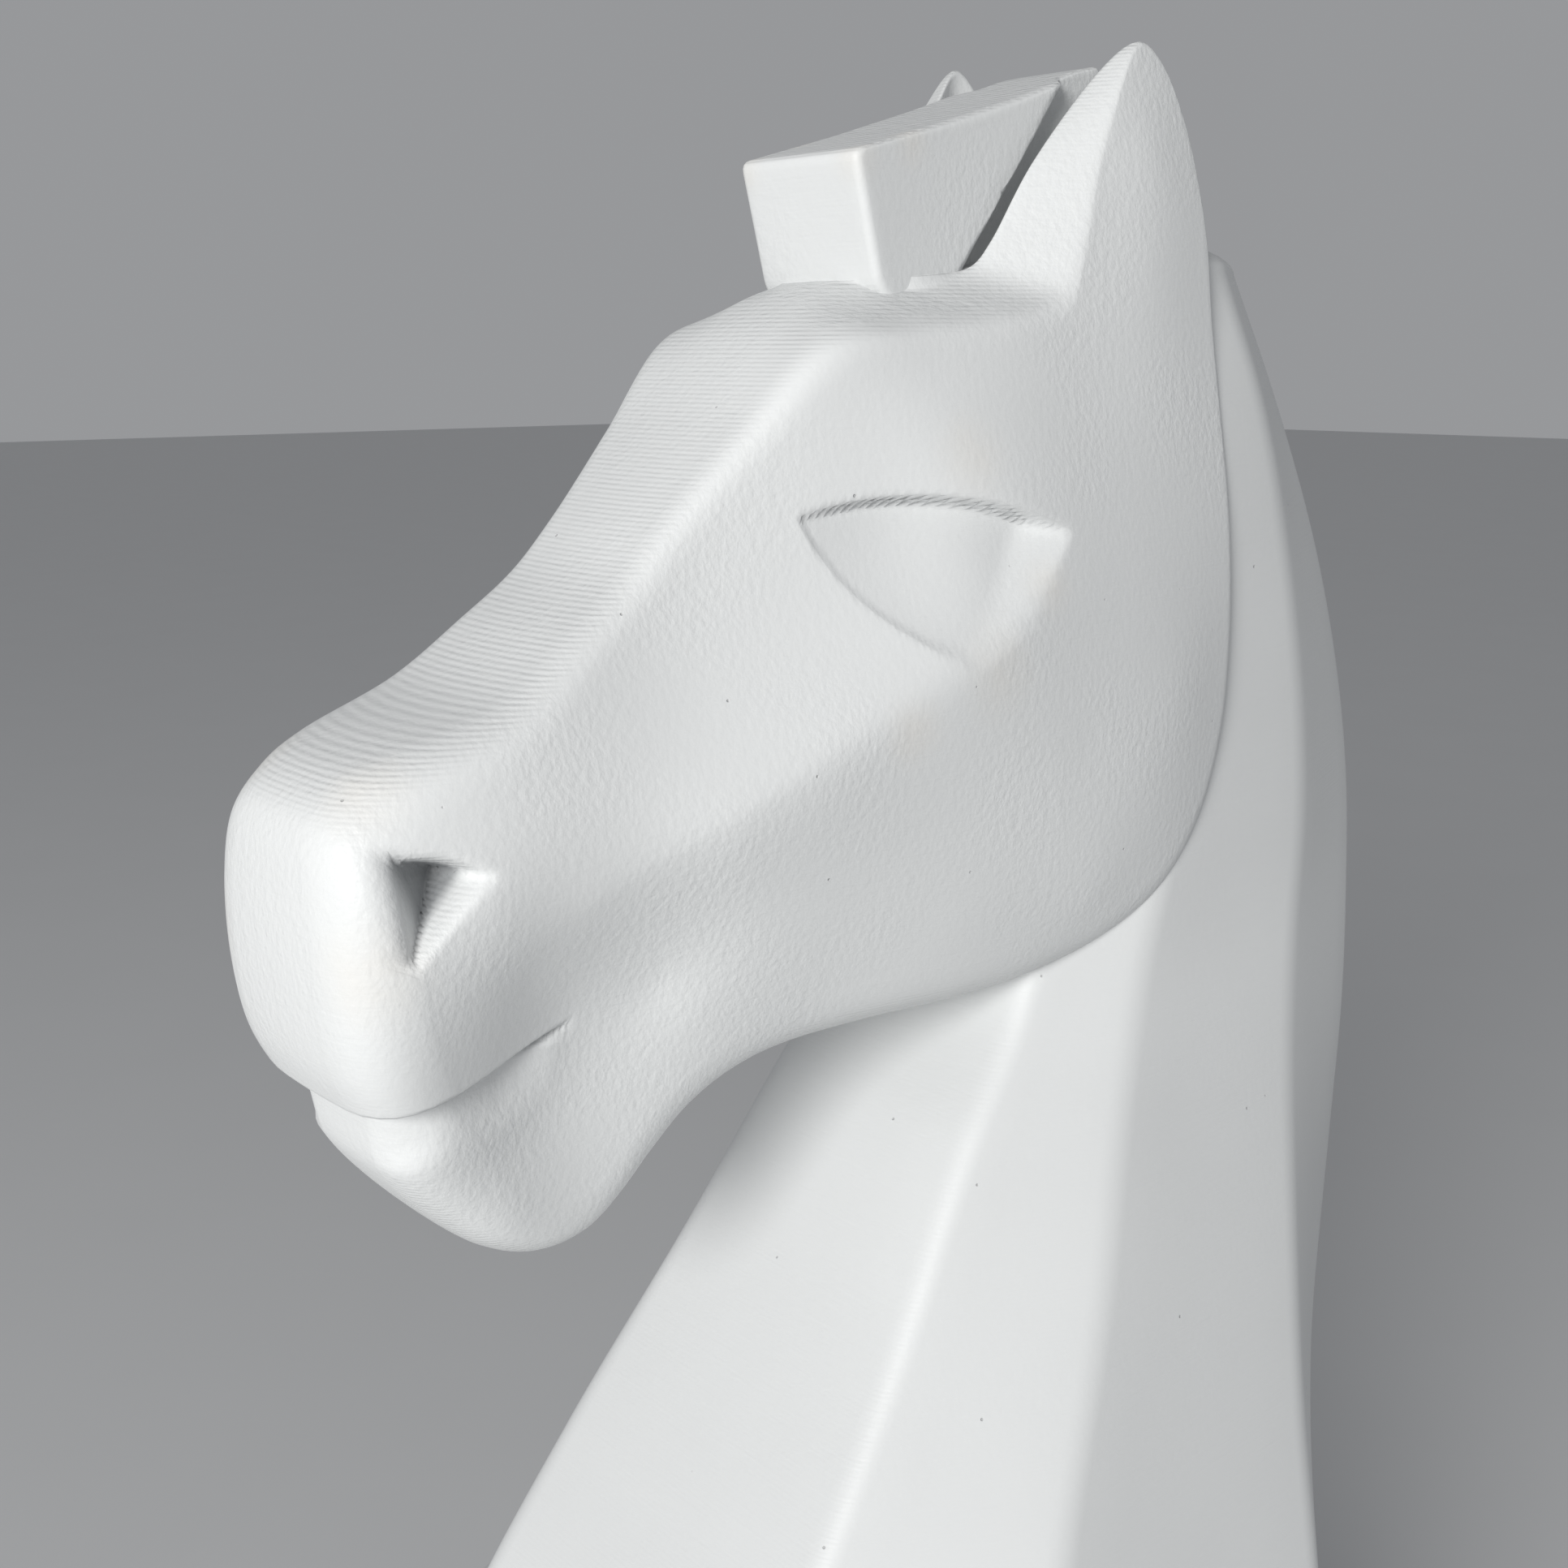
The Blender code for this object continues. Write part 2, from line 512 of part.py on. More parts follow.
def build_fasteners():
    """Cover screws with their inserts, and the centre bolt with its nut and washers."""
    for number, (x, y) in enumerate(screw_places(), 1):
        turned(f"cover_screw_{number}", [
            (0.0, 1.4), (1.2, 1.4), (1.4, 0.9), (3.0, 0.9), (3.8, 1.6), (4.0, 2.4), (4.0, 2.9), (SCREW_R, 2.9),
            (SCREW_R, 12.6), (SCREW_R - 0.5, 13.2), (0.0, 13.2),
        ], STEEL, 0.35, 1.0, centre=(x, y, 0.0), count=16)
        turned(f"cover_insert_{number}", [
            (SCREW_R + 0.2, 7.9), (3.1, 7.9), (3.1, 9.4), (2.8, 9.8), (2.8, 11.4), (3.1, 11.8), (3.1, 13.4),
            (SCREW_R + 0.2, 13.4),
        ], BRASS, 0.35, 1.0, centre=(x, y, 0.0), count=16)
    bolt = rod("centre_bolt", BOLT_R, 42.0, 92.0, None, 0.5, sides=28)
    boolean(bolt, rod("hex", 7.5, 38.9, 44.2, None, 0.5, sides=6), "UNION")
    paint(bolt, STEEL, 0.35, 1.0)
    for name, low in (("lower_washer", 44.6), ("upper_washer", COLLAR_TOP + FLOOR + 0.3)):
        turned(name, [(BOLT_R + 0.3, low), (10.0, low), (10.0, low + 1.6), (BOLT_R + 0.3, low + 1.6)],
               STEEL, 0.35, 1.0, count=36)
    low = COLLAR_TOP + FLOOR + 2.2
    nut = rod("bolt_nut", 7.5, low, low + 6.4, None, 0.5, sides=6, smooth=False)
    boolean(nut, rod("bore", BOLT_R + 0.2, low - 3.0, low + 10.0, None, 0.5, sides=28), "DIFFERENCE")
    paint(nut, STEEL, 0.35, 1.0)


def build_plug():
    """Filler plug with a coin slot, and its sealing ring, on the back of the base."""
    centre = (0.0, 0.0, PLUG_Z)
    turned("filler_seal", [
        (8.7, 84.3), (10.6, 84.3), (11.0, 84.7), (11.0, 85.7), (10.6, 86.1), (8.7, 86.1),
    ], RUBBER, 0.7, axis="Y", centre=centre, count=40)
    cap = turned("filler_cap", [
        (0.0, 72.0), (7.4, 72.0), (8.0, 72.8), (8.0, 86.4), (10.4, 86.4), (11.2, 87.0), (11.2, 89.8), (10.2, 90.8),
        (0.0, 90.8),
    ], None, 0.5, axis="Y", centre=centre, count=40)
    slot = prism("slot", [(88.6, PLUG_Z - 1.3), (94.0, PLUG_Z - 1.3), (94.0, PLUG_Z + 1.3), (88.6, PLUG_Z + 1.3)],
                 -9.0, 9.0)
    boolean(cap, slot, "DIFFERENCE")
    paint(cap, GREY, 0.55)


def build_key():
    """Locating block bonded and screwed to the front of the neck, inside the head."""
    block = prism("head_key", [(-6.0, 222.0), (14.2, 222.0), (14.9, 244.0), (-2.0, 244.0)], -8.0, 8.0)
    boolean(block, neck_cutter(GAP, 5.9), "DIFFERENCE")
    for z in (227.0, 239.0):
        boolean(block, rod("hole", 1.8, -12.0, 30.0, None, 0.5, sides=16, axis="Y", centre=(0.0, 0.0, z)), "DIFFERENCE")
    paint(block, WHITE, 0.55)
    for number, z in enumerate((227.0, 239.0), 1):
        turned(f"key_screw_{number}", [
            (0.0, -10.0), (2.8, -10.0), (2.8, -7.6), (1.4, -6.6), (1.4, 11.0), (0.0, 12.6),
        ], STEEL, 0.35, 1.0, axis="Y", centre=(0.0, 0.0, z), count=16)


def main():
    """Clear the scene and build every piece."""
    for obj in list(bpy.data.objects):
        bpy.data.objects.remove(obj)
    build_neck()
    build_head()
    build_forelock()
    build_pedestal()
    build_fasteners()
    build_plug()
    build_key()


main()
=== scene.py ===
"""Knight of a large garden chess set: a printed and primed horse on a weighted turned pedestal.

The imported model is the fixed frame. Each sub-assembly below builds its fine surfaces as numpy grids in
millimetres, in the frame's own axes: the horse faces -Y, its left side is +X, the foot stands on Z = 0.
"""

import logging
import math
from dataclasses import dataclass
from enum import Enum
from typing import Any, Callable, Optional, Sequence, Union

import bmesh
import bpy
import numpy as np
from mathutils import Matrix, Vector


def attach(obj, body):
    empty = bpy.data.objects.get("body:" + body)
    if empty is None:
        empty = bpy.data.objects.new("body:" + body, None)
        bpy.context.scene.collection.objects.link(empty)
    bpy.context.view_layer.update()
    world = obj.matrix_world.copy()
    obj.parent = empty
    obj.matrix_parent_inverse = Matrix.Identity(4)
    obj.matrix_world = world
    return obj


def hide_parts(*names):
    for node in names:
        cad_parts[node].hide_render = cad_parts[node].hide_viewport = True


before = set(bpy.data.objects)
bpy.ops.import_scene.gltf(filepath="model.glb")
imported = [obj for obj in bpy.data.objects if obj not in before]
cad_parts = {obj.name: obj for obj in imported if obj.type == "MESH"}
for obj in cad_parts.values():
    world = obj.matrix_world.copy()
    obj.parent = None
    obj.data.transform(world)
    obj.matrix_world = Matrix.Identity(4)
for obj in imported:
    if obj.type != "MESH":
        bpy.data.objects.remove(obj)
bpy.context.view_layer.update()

LOG = logging.getLogger("knight")
MM = 0.001
Array = np.ndarray
Value = Union[float, "Socket"]
Pair = tuple[float, float]
Triple = tuple[float, float, float]


class Body(Enum):
    """Moving bodies of the frame."""

    PIECE = "piece"
    SEAL = "plug_seal"
    PLUG = "plug"


class Slot(Enum):
    """Material slots of the record."""

    WHITE = "white_print"
    GREY = "grey_print"
    RUBBER = "rubber"
    BALLAST = "ballast_steel"
    STEEL = "fastener_steel"
    BRASS = "brass"


# --------------------------------------------------------------------------- shader writing


class Socket:
    """A shader value that can be used in Python expressions."""

    def __init__(self, nodes: "Nodes", link: bpy.types.NodeSocket) -> None:
        """Keep the node builder and the output socket."""
        self.nodes = nodes
        self.link = link

    def math(self, operation: str, *others: Value) -> "Socket":
        """Add a Math node on this value and the others."""
        values = {i: v for i, v in enumerate((self, *others))}
        return self.nodes.add("ShaderNodeMath", {"operation": operation}, values)

    def __add__(self, other: Value) -> "Socket":
        """Sum."""
        return self.math("ADD", other)

    def __mul__(self, other: Value) -> "Socket":
        """Product."""
        return self.math("MULTIPLY", other)

    def __sub__(self, other: Value) -> "Socket":
        """Difference."""
        return self.math("SUBTRACT", other)

    def __rsub__(self, other: float) -> "Socket":
        """Difference from a number."""
        return self.nodes.add("ShaderNodeMath", {"operation": "SUBTRACT"}, {0: other, 1: self})

    def __truediv__(self, other: Value) -> "Socket":
        """Quotient."""
        return self.math("DIVIDE", other)

    __radd__ = __add__
    __rmul__ = __mul__

    def step(self, low: float, high: float) -> "Socket":
        """Smooth ramp from 0 at low to 1 at high."""
        values = {"Value": self, "From Min": low, "From Max": high}
        return self.nodes.add("ShaderNodeMapRange", {"interpolation_type": "SMOOTHSTEP"}, values)


class Nodes:
    """Node tree of one material."""

    def __init__(self, name: str) -> None:
        """Start an empty material with its output."""
        self.material = bpy.data.materials.new(name)
        self.material.use_nodes = True
        self.tree = self.material.node_tree
        self.tree.nodes.clear()
        self.output = self.tree.nodes.new("ShaderNodeOutputMaterial")

    def add(self, kind: str, settings: dict[str, Any], values: dict[Any, Any], out: Any = 0) -> Socket:
        """Add a node.

        Args:
            kind: The node's type.
            settings: Its own properties, set before its sockets.
            values: Numbers, colours or Sockets for its inputs, by name or number.
            out: The output wanted, by name or number.

        Returns:
            The wanted output.
        """
        node = self.tree.nodes.new(kind)
        for key, value in settings.items():
            setattr(node, key, value)
        for key, value in values.items():
            if isinstance(value, Socket):
                self.tree.links.new(value.link, node.inputs[key])
            else:
                node.inputs[key].default_value = value
        return Socket(self, node.outputs[out])

    def place(self, scale: Triple = (1.0, 1.0, 1.0)) -> Socket:
        """Object coordinates, stretched by a factor along each axis."""
        where = self.add("ShaderNodeTexCoord", {}, {}, "Object")
        return self.add("ShaderNodeMapping", {}, {"Vector": where, "Scale": scale})

    def noise(self, size_mm: float, detail: float = 2.0, stretch: Triple = (1.0, 1.0, 1.0)) -> Socket:
        """Noise whose grains are about size_mm across."""
        values = {"Vector": self.place(stretch), "Scale": 1.0 / (size_mm * MM), "Detail": detail}
        return self.add("ShaderNodeTexNoise", {}, values, "Fac")

    def axis(self, name: str) -> Socket:
        """One Object coordinate, in metres."""
        return self.add("ShaderNodeSeparateXYZ", {}, {"Vector": self.place()}, name)

    def attribute(self, name: str) -> Socket:
        """A number stored on the mesh."""
        return self.add("ShaderNodeAttribute", {"attribute_name": name}, {}, "Fac")

    def mix(self, share: Value, first: Any, second: Any) -> Socket:
        """Blend two colours."""
        values = {"Factor": share, 6: first, 7: second}
        return self.add("ShaderNodeMix", {"data_type": "RGBA"}, values, 2)

    def finish(self, color: Any, rough: Value, height: Optional[Socket], **fixed: Any) -> bpy.types.Material:
        """Close the tree with a Principled shader.

        Args:
            color: Base colour, a value or a Socket.
            rough: Roughness.
            height: Relief in metres for the Bump node.
            fixed: Constants for the shader's other sockets.

        Returns:
            The material.
        """
        values: dict[Any, Any] = {"Base Color": color, "Roughness": rough}
        if height is not None:
            relief = {"Strength": 1.0, "Distance": 1.0, "Height": height}
            values["Normal"] = self.add("ShaderNodeBump", {}, relief)
        values.update({key.replace("_", " "): value for key, value in fixed.items()})
        shader = self.add("ShaderNodeBsdfPrincipled", {}, values)
        self.tree.links.new(shader.link, self.output.inputs["Surface"])
        return self.material


# --------------------------------------------------------------------------- finishes

THIN_PRIMER = (0.80, 0.755, 0.685, 1.0)
# Dark grey painted deep in the nostril: painted shade for the shadow in the hole.
PAINTED_NOSTRIL_SHADE = (0.25, 0.26, 0.27, 1.0)
PIT_FLOOR = (0.30, 0.30, 0.30, 1.0)


@dataclass(frozen=True)
class PrimedPrint:
    """Sprayed primer over printed layers: layer lines, orange peel, pits and thin warm spots, with painted
    shade on level faces and, where a box is given, in the nostril.
    """

    name: str = "primed_print"
    color: Triple = (0.80, 0.812, 0.812)
    pitch: float = 0.5
    line_depth: float = 0.0016
    terrace_depth: float = 0.060
    peel_depth: float = 0.030
    rough: float = 0.46
    warm: tuple[tuple[Triple, float], ...] = ()
    # Box of the nostril's painted shade: low and high corners in (|x|, y, z).
    shade_box: Optional[tuple[Triple, Triple]] = None

    def material(self) -> bpy.types.Material:
        """Build the finish.

        Layer lines are a wave on the height, weak on walls and strong where the surface is shallow; the mesh
        stores that as the attribute "shallow", 0 on a wall and 1 on a level face. Shallow faces are also
        painted darker, as painted shade between the terraces.

        Returns:
            The material.
        """
        nodes = Nodes(self.name)
        shallow = nodes.attribute("shallow")
        height = nodes.axis("Z")
        drift = nodes.noise(30.0, 1.0) * (0.5 * self.pitch * MM)
        wave = ((height + drift * shallow) * (2.0 * math.pi / (self.pitch * MM))).math("SINE")
        uneven = nodes.noise(2.6, 2.0, (1.0, 1.0, 5.0)).step(0.25, 0.75) * 0.7 + 0.5
        slope_mask = shallow.step(0.42, 0.84)
        lines = wave * uneven * (slope_mask * (self.terrace_depth * 0.5 * MM) + self.line_depth * MM)
        streaks = nodes.noise(7.0, 3.0, (1.0, 1.0, 16.0)) * (0.030 * MM)
        behind_bridge = nodes.axis("Y").step(-0.045, -0.030)
        level = shallow.step(0.80, 0.97)
        rough_rows = nodes.noise(1.5, 3.0, (1.0, 1.0, 4.0)) * level * behind_bridge * (0.34 * MM)
        patch = nodes.noise(26.0, 1.0).step(0.36, 0.66) * 0.75 + 0.35
        peel = nodes.noise(0.85, 2.0, (1.0, 1.0, 0.8)) * patch * (self.peel_depth * 4.0 * MM)
        fine = nodes.noise(0.32, 1.0) * (0.006 * MM)
        pits = self.pits(nodes)
        relief = lines + streaks + rough_rows + peel + fine - pits * (0.10 * MM)
        cloud = nodes.noise(34.0, 3.0).step(0.3, 0.7)
        tint = nodes.mix(cloud, (*self.color, 1.0), (*[c * 0.972 for c in self.color], 1.0))
        # Painted shade: shallow faces are darkened in colour, standing in for the shade between the print
        # terraces.
        tint = nodes.mix(slope_mask * 0.40, tint, (*[c * 0.70 for c in self.color], 1.0))
        tint = nodes.mix(self.thin_spots(nodes), tint, THIN_PRIMER)
        # Painted shade: dark grey inside the nostril box stands in for the shadow deep in the hole.
        tint = nodes.mix(self.painted_nostril_shade(nodes), tint, PAINTED_NOSTRIL_SHADE)
        tint = nodes.mix(pits * 0.5, tint, PIT_FLOOR)
        rough = cloud * 0.06 + self.rough
        return nodes.finish(tint, rough, relief, Specular_IOR_Level=0.42)

    @staticmethod
    def pits(nodes: Nodes) -> Socket:
        """Sparse pits: small discs in a few cells of a coarse cell pattern.

        Args:
            nodes: The tree to add to.

        Returns:
            1 in a pit, 0 elsewhere.
        """
        settings = {"feature": "F1"}
        values = {"Vector": nodes.place(), "Scale": 330.0, "Randomness": 1.0}
        near = nodes.add("ShaderNodeTexVoronoi", settings, values, "Distance")
        pick = nodes.add("ShaderNodeTexVoronoi", settings, values, "Color")
        chosen = nodes.add("ShaderNodeSeparateColor", {}, {"Color": pick}, 0).step(0.90, 0.93)
        return (1.0 - near.step(0.035, 0.075)) * chosen

    def painted_nostril_shade(self, nodes: Nodes) -> Value:
        """Painted shade in the nostril: dark grey colour inside a box of mirrored places, standing in for
        the shadow deep in the hole.

        Args:
            nodes: The tree to add to.

        Returns:
            How much of the painted shade shows.
        """
        if self.shade_box is None:
            return 0.0
        total: Value = 0.85
        places = (nodes.axis("X").math("ABSOLUTE"), nodes.axis("Y"), nodes.axis("Z"))
        for place, low, high in zip(places, *self.shade_box):
            enters = place.step(low * MM, (low + 1.5) * MM)
            leaves = place.step((high - 2.5) * MM, high * MM)
            total = enters * (1.0 - leaves) * total
        return total

    def thin_spots(self, nodes: Nodes) -> Value:
        """Soft warm spots where the primer is thin.

        Args:
            nodes: The tree to add to.

        Returns:
            How much of the warm colour shows.
        """
        total: Value = 0.0
        ragged = nodes.noise(3.0, 3.0) * 0.9 + 0.2
        for (x, y, z), radius in self.warm:
            across = nodes.axis("X").math("ABSOLUTE") - x * MM
            back = nodes.axis("Y") - y * MM
            up = nodes.axis("Z") - z * MM
            far = (across * across + back * back + up * up).math("SQRT") / (radius * MM)
            total = (1.0 - far.step(0.0, 1.0)) * ragged * 0.42 + total
        return total


@dataclass(frozen=True)
class GreyPrint:
    """Bare grey printed plastic with fine layer lines."""

    name: str = "grey_print"
    color: Triple = (0.165, 0.170, 0.178)
    pitch: float = 0.3

    def material(self) -> bpy.types.Material:
        """Layer lines along the print, with light scuffs.

        Returns:
            The material.
        """
        nodes = Nodes(self.name)
        wave = (nodes.axis("Z") * (2.0 * math.pi / (self.pitch * MM))).math("SINE")
        scuff = nodes.noise(2.2, 3.0).step(0.55, 0.8)
        relief = wave * (0.006 * MM) + nodes.noise(0.7, 2.0) * (0.020 * MM)
        tint = nodes.mix(scuff, (*self.color, 1.0), (0.23, 0.235, 0.24, 1.0))
        return nodes.finish(tint, scuff * 0.12 + 0.5, relief, Specular_IOR_Level=0.4)


@dataclass(frozen=True)
class Rubber:
    """Dull black moulded rubber."""

    name: str = "rubber"

    def material(self) -> bpy.types.Material:
        """Fine grain with dusty patches.

        Returns:
            The material.
        """
        nodes = Nodes(self.name)
        dust = nodes.noise(6.0, 4.0).step(0.5, 0.8)
        tint = nodes.mix(dust, (0.022, 0.022, 0.023, 1.0), (0.06, 0.058, 0.055, 1.0))
        return nodes.finish(tint, dust * 0.1 + 0.74, nodes.noise(0.5, 3.0) * (0.04 * MM))


@dataclass(frozen=True)
class Metal:
    """Plated or turned metal with fine tool lines."""

    name: str
    color: Triple
    rough: float
    grain: float = 0.25

    def material(self) -> bpy.types.Material:
        """Tool lines round the height and cloudy plating.

        Returns:
            The material.
        """
        nodes = Nodes(self.name)
        lines = nodes.noise(self.grain, 2.0, (0.06, 0.06, 1.0))
        cloud = nodes.noise(5.0, 3.0).step(0.35, 0.75)
        dull = tuple(c * 0.82 for c in self.color)
        tint = nodes.mix(cloud, (*self.color, 1.0), (*dull, 1.0))
        return nodes.finish(tint, cloud * 0.16 + self.rough, lines * (0.014 * MM), Metallic=1.0)


WARM_HEAD = (
    ((11.0, -84.0, 232.0), 7.0), ((14.5, -86.0, 214.0), 8.0), ((25.0, -9.0, 236.5), 8.0),
    ((26.0, -22.0, 231.0), 6.0), ((23.5, -10.0, 262.0), 7.0), ((26.5, 0.0, 246.0), 5.0),
)
WARM_FORELOCK = (((9.0, -16.0, 295.0), 4.0), ((9.5, -8.0, 297.0), 4.0))
STEEL = Metal("zinc_steel", (0.56, 0.57, 0.59), 0.26)
BALLAST = Metal("sawn_steel", (0.36, 0.36, 0.37), 0.42, 0.6)
BRASS = Metal("turned_brass", (0.78, 0.58, 0.24), 0.24)


# --------------------------------------------------------------------------- surface tools


def closed_curve(points: Array, places: Array) -> Array:
    """Closed Catmull-Rom curve.

    Each span is the cubic that passes its two points with slopes taken from their neighbours.

    Args:
        points: Rows of values, one row for each point.
        places: Parameters in points, from 0 to the number of points.

    Returns:
        One row of values for each place.
    """
    n = len(points)
    i = np.floor(places).astype(int)
    f = (places - i)[:, None]
    a, b, c, d = (points[(i + k) % n] for k in (-1, 0, 1, 2))
    return 0.5 * (2 * b + (c - a) * f + (2 * a - 5 * b + 4 * c - d) * f**2 + (3 * b - a - 3 * c + d) * f**3)


def plate_surface(points: Sequence[Triple], stiffness: float) -> Callable[[Array, Array], Array]:
    """Thin plate bent through given heights.

    The height is a plane plus a sum of r^2 log r terms round the given places.

    Args:
        points: (y, z, height) of each given place.
        stiffness: How far the plate may miss a place to stay smooth.

    Returns:
        A function of y and z that gives the height.
    """
    p = np.array(points, float)

    def kernel(r2: Array) -> Array:
        """Radial term of the plate."""
        return 0.5 * r2 * np.log(np.maximum(r2, 1e-9))

    n = len(p)
    system = np.zeros((n + 3, n + 3))
    system[:n, :n] = kernel(((p[:, None, :2] - p[None, :, :2]) ** 2).sum(-1)) + stiffness * np.eye(n)
    system[:n, n] = system[n, :n] = 1.0
    system[:n, n + 1:] = p[:, :2]
    system[n + 1:, :n] = p[:, :2].T
    w = np.linalg.solve(system, np.concatenate([p[:, 2], np.zeros(3)]))

    def height(y: Array, z: Array) -> Array:
        """Height of the plate at (y, z)."""
        r2 = (y[..., None] - p[:, 0]) ** 2 + (z[..., None] - p[:, 1]) ** 2
        return kernel(r2) @ w[:n] + w[n] + w[n + 1] * y + w[n + 2] * z

    return height


def smooth_least(values: Sequence[Array], softness: float) -> Array:
    """Soft minimum: -k log(sum(exp(-v / k))).

    Args:
        values: Arrays of one shape.
        softness: The k of the formula.

    Returns:
        The softened least value at each place.
    """
    stack = np.stack(values)
    low = stack.min(0)
    return low - softness * np.log(np.exp(-(stack - low) / softness).sum(0))


def soft_above(value: Array, softness: float) -> Array:
    """Soft maximum of a value and zero: half of v + sqrt(v^2 + k^2), less k / 2."""
    return 0.5 * (value + np.sqrt(value**2 + softness**2) - softness)


def ramp(value: Array, low: float, high: float) -> Array:
    """Smooth step from 0 at low to 1 at high."""
    t = np.clip((value - low) / (high - low), 0.0, 1.0)
    return t * t * (3.0 - 2.0 * t)


def ring_faces(rows: int, columns: int) -> Array:
    """Quads of a grid that is closed round its columns.

    Args:
        rows: Rows of the grid.
        columns: Columns of the grid.

    Returns:
        Four vertex numbers for each quad.
    """
    r, c = np.meshgrid(np.arange(rows - 1), np.arange(columns), indexing="ij")
    d = (c + 1) % columns
    low, high = r * columns, (r + 1) * columns
    return np.stack([low + c, low + d, high + d, high + c], -1).reshape(-1, 4)


def fan_faces(start: int, columns: int, apex: int) -> list[tuple[int, ...]]:
    """Triangles from one ring to a point.

    Args:
        start: Number of the ring's first vertex.
        columns: Vertices in the ring.
        apex: Number of the point.

    Returns:
        Three vertex numbers for each triangle.
    """
    i = np.arange(columns)
    corners = np.stack([start + i, start + (i + 1) % columns, np.full(columns, apex)], 1)
    return [tuple(row) for row in corners.tolist()]


def close_ends(grid: Array, first: Sequence[float], last: Sequence[float]) -> tuple[Array, list]:
    """Close a tube of rings with a point at each end.

    Args:
        grid: (rows, columns, 3) points.
        first: Point that closes the first ring.
        last: Point that closes the last ring.

    Returns:
        The vertices and the faces.
    """
    rows, count = grid.shape[:2]
    verts = np.concatenate([grid.reshape(-1, 3), [first, last]])
    faces = ring_faces(rows, count).tolist() + fan_faces(0, count, rows * count)
    return verts, faces + fan_faces((rows - 1) * count, count, rows * count + 1)


def make_piece(
    name: str, verts: Array, faces: Sequence[Sequence[int]], sharp: float = 180.0
) -> bpy.types.Object:
    """Put a surface into a mesh object at the origin.

    Doubles are merged, the normals are turned outwards and the attribute "shallow" is stored: how level
    the surface is at each vertex.

    Args:
        name: Name of the piece.
        verts: Vertices in millimetres.
        faces: Vertex numbers of each face.
        sharp: Edges over this angle, in degrees, are shaded as corners.

    Returns:
        The object.
    """
    mesh = bpy.data.meshes.new(name)
    corners = [tuple(f) for f in np.asarray(faces, object)]
    mesh.from_pydata((np.asarray(verts, float) * MM).tolist(), [], corners)
    work = bmesh.new()
    work.from_mesh(mesh)
    bmesh.ops.remove_doubles(work, verts=work.verts, dist=4e-6)
    bmesh.ops.dissolve_degenerate(work, dist=1e-6, edges=work.edges)
    bmesh.ops.recalc_face_normals(work, faces=work.faces)
    work.to_mesh(mesh)
    work.free()
    mesh.shade_smooth()
    if sharp < 180.0:
        mesh.set_sharp_from_angle(angle=math.radians(sharp))
    store_shallow(mesh)
    obj = bpy.data.objects.new(name, mesh)
    bpy.context.scene.collection.objects.link(obj)
    return obj


def store_shallow(mesh: bpy.types.Mesh) -> None:
    """Store how level each vertex is, as the size of its normal's Z.

    Args:
        mesh: The mesh that gets the attribute.
    """
    normals = np.empty(3 * len(mesh.vertices))
    mesh.vertices.foreach_get("normal", normals)
    level = np.abs(normals.reshape(-1, 3)[:, 2])
    mesh.attributes.new("shallow", "FLOAT", "POINT").data.foreach_set("value", level)


def dress(obj: bpy.types.Object, body: Body, slot: Slot, material: bpy.types.Material, *nodes: str) -> None:
    """Give a new piece its material and body, and hide the CAD nodes it stands for.

    Args:
        obj: The piece.
        body: Body that it moves with.
        slot: Slot of the record; not used.
        material: Its finish.
        nodes: CAD nodes that it replaces.
    """
    obj.data.materials.clear()
    obj.data.materials.append(material)
    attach(obj, body.value)
    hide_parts(*nodes)
    LOG.info("%s: %d faces", obj.name, len(obj.data.polygons))


def refinish(material: bpy.types.Material, *nodes: str) -> None:
    """Give CAD nodes that stay a finer material in their own slots.

    Args:
        material: Their finish.
        nodes: Names of the nodes.
    """
    for node in nodes:
        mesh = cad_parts[node].data
        for index in range(len(mesh.materials)):
            mesh.materials[index] = material
        if "shallow" not in mesh.attributes:
            store_shallow(mesh)
        LOG.info("%s keeps its shape", node)


def rounded_ring(corners: Array, reach: float, steps: int, between: int = 1) -> Array:
    """Closed polygon with its corners rounded.

    Each corner is the quadratic curve from a point before it to a point after it.

    Args:
        corners: (..., n, 2) corners.
        reach: How far before and after a corner its curve starts and ends.
        steps: Points on each curve.
        between: Spans of the straight run to the next corner.

    Returns:
        (..., n * (steps + between - 1), 2) points.
    """
    before = np.roll(corners, 1, -2) - corners
    after = np.roll(corners, -1, -2) - corners
    size_b = np.linalg.norm(before, axis=-1, keepdims=True)
    size_a = np.linalg.norm(after, axis=-1, keepdims=True)
    start = corners + before / size_b * np.minimum(reach, 0.45 * size_b)
    end = corners + after / size_a * np.minimum(reach, 0.45 * size_a)
    f = np.linspace(0.0, 1.0, steps)[:, None]
    curve = (1 - f) ** 2 * start[..., None, :] + 2 * f * (1 - f) * corners[..., None, :]
    curve = curve + f**2 * end[..., None, :]
    g = (np.arange(1, between) / between)[:, None]
    run = end[..., None, :] * (1 - g) + np.roll(start, -1, -2)[..., None, :] * g
    points = np.concatenate([curve, run], -2)
    return points.reshape(*points.shape[:-3], -1, 2)


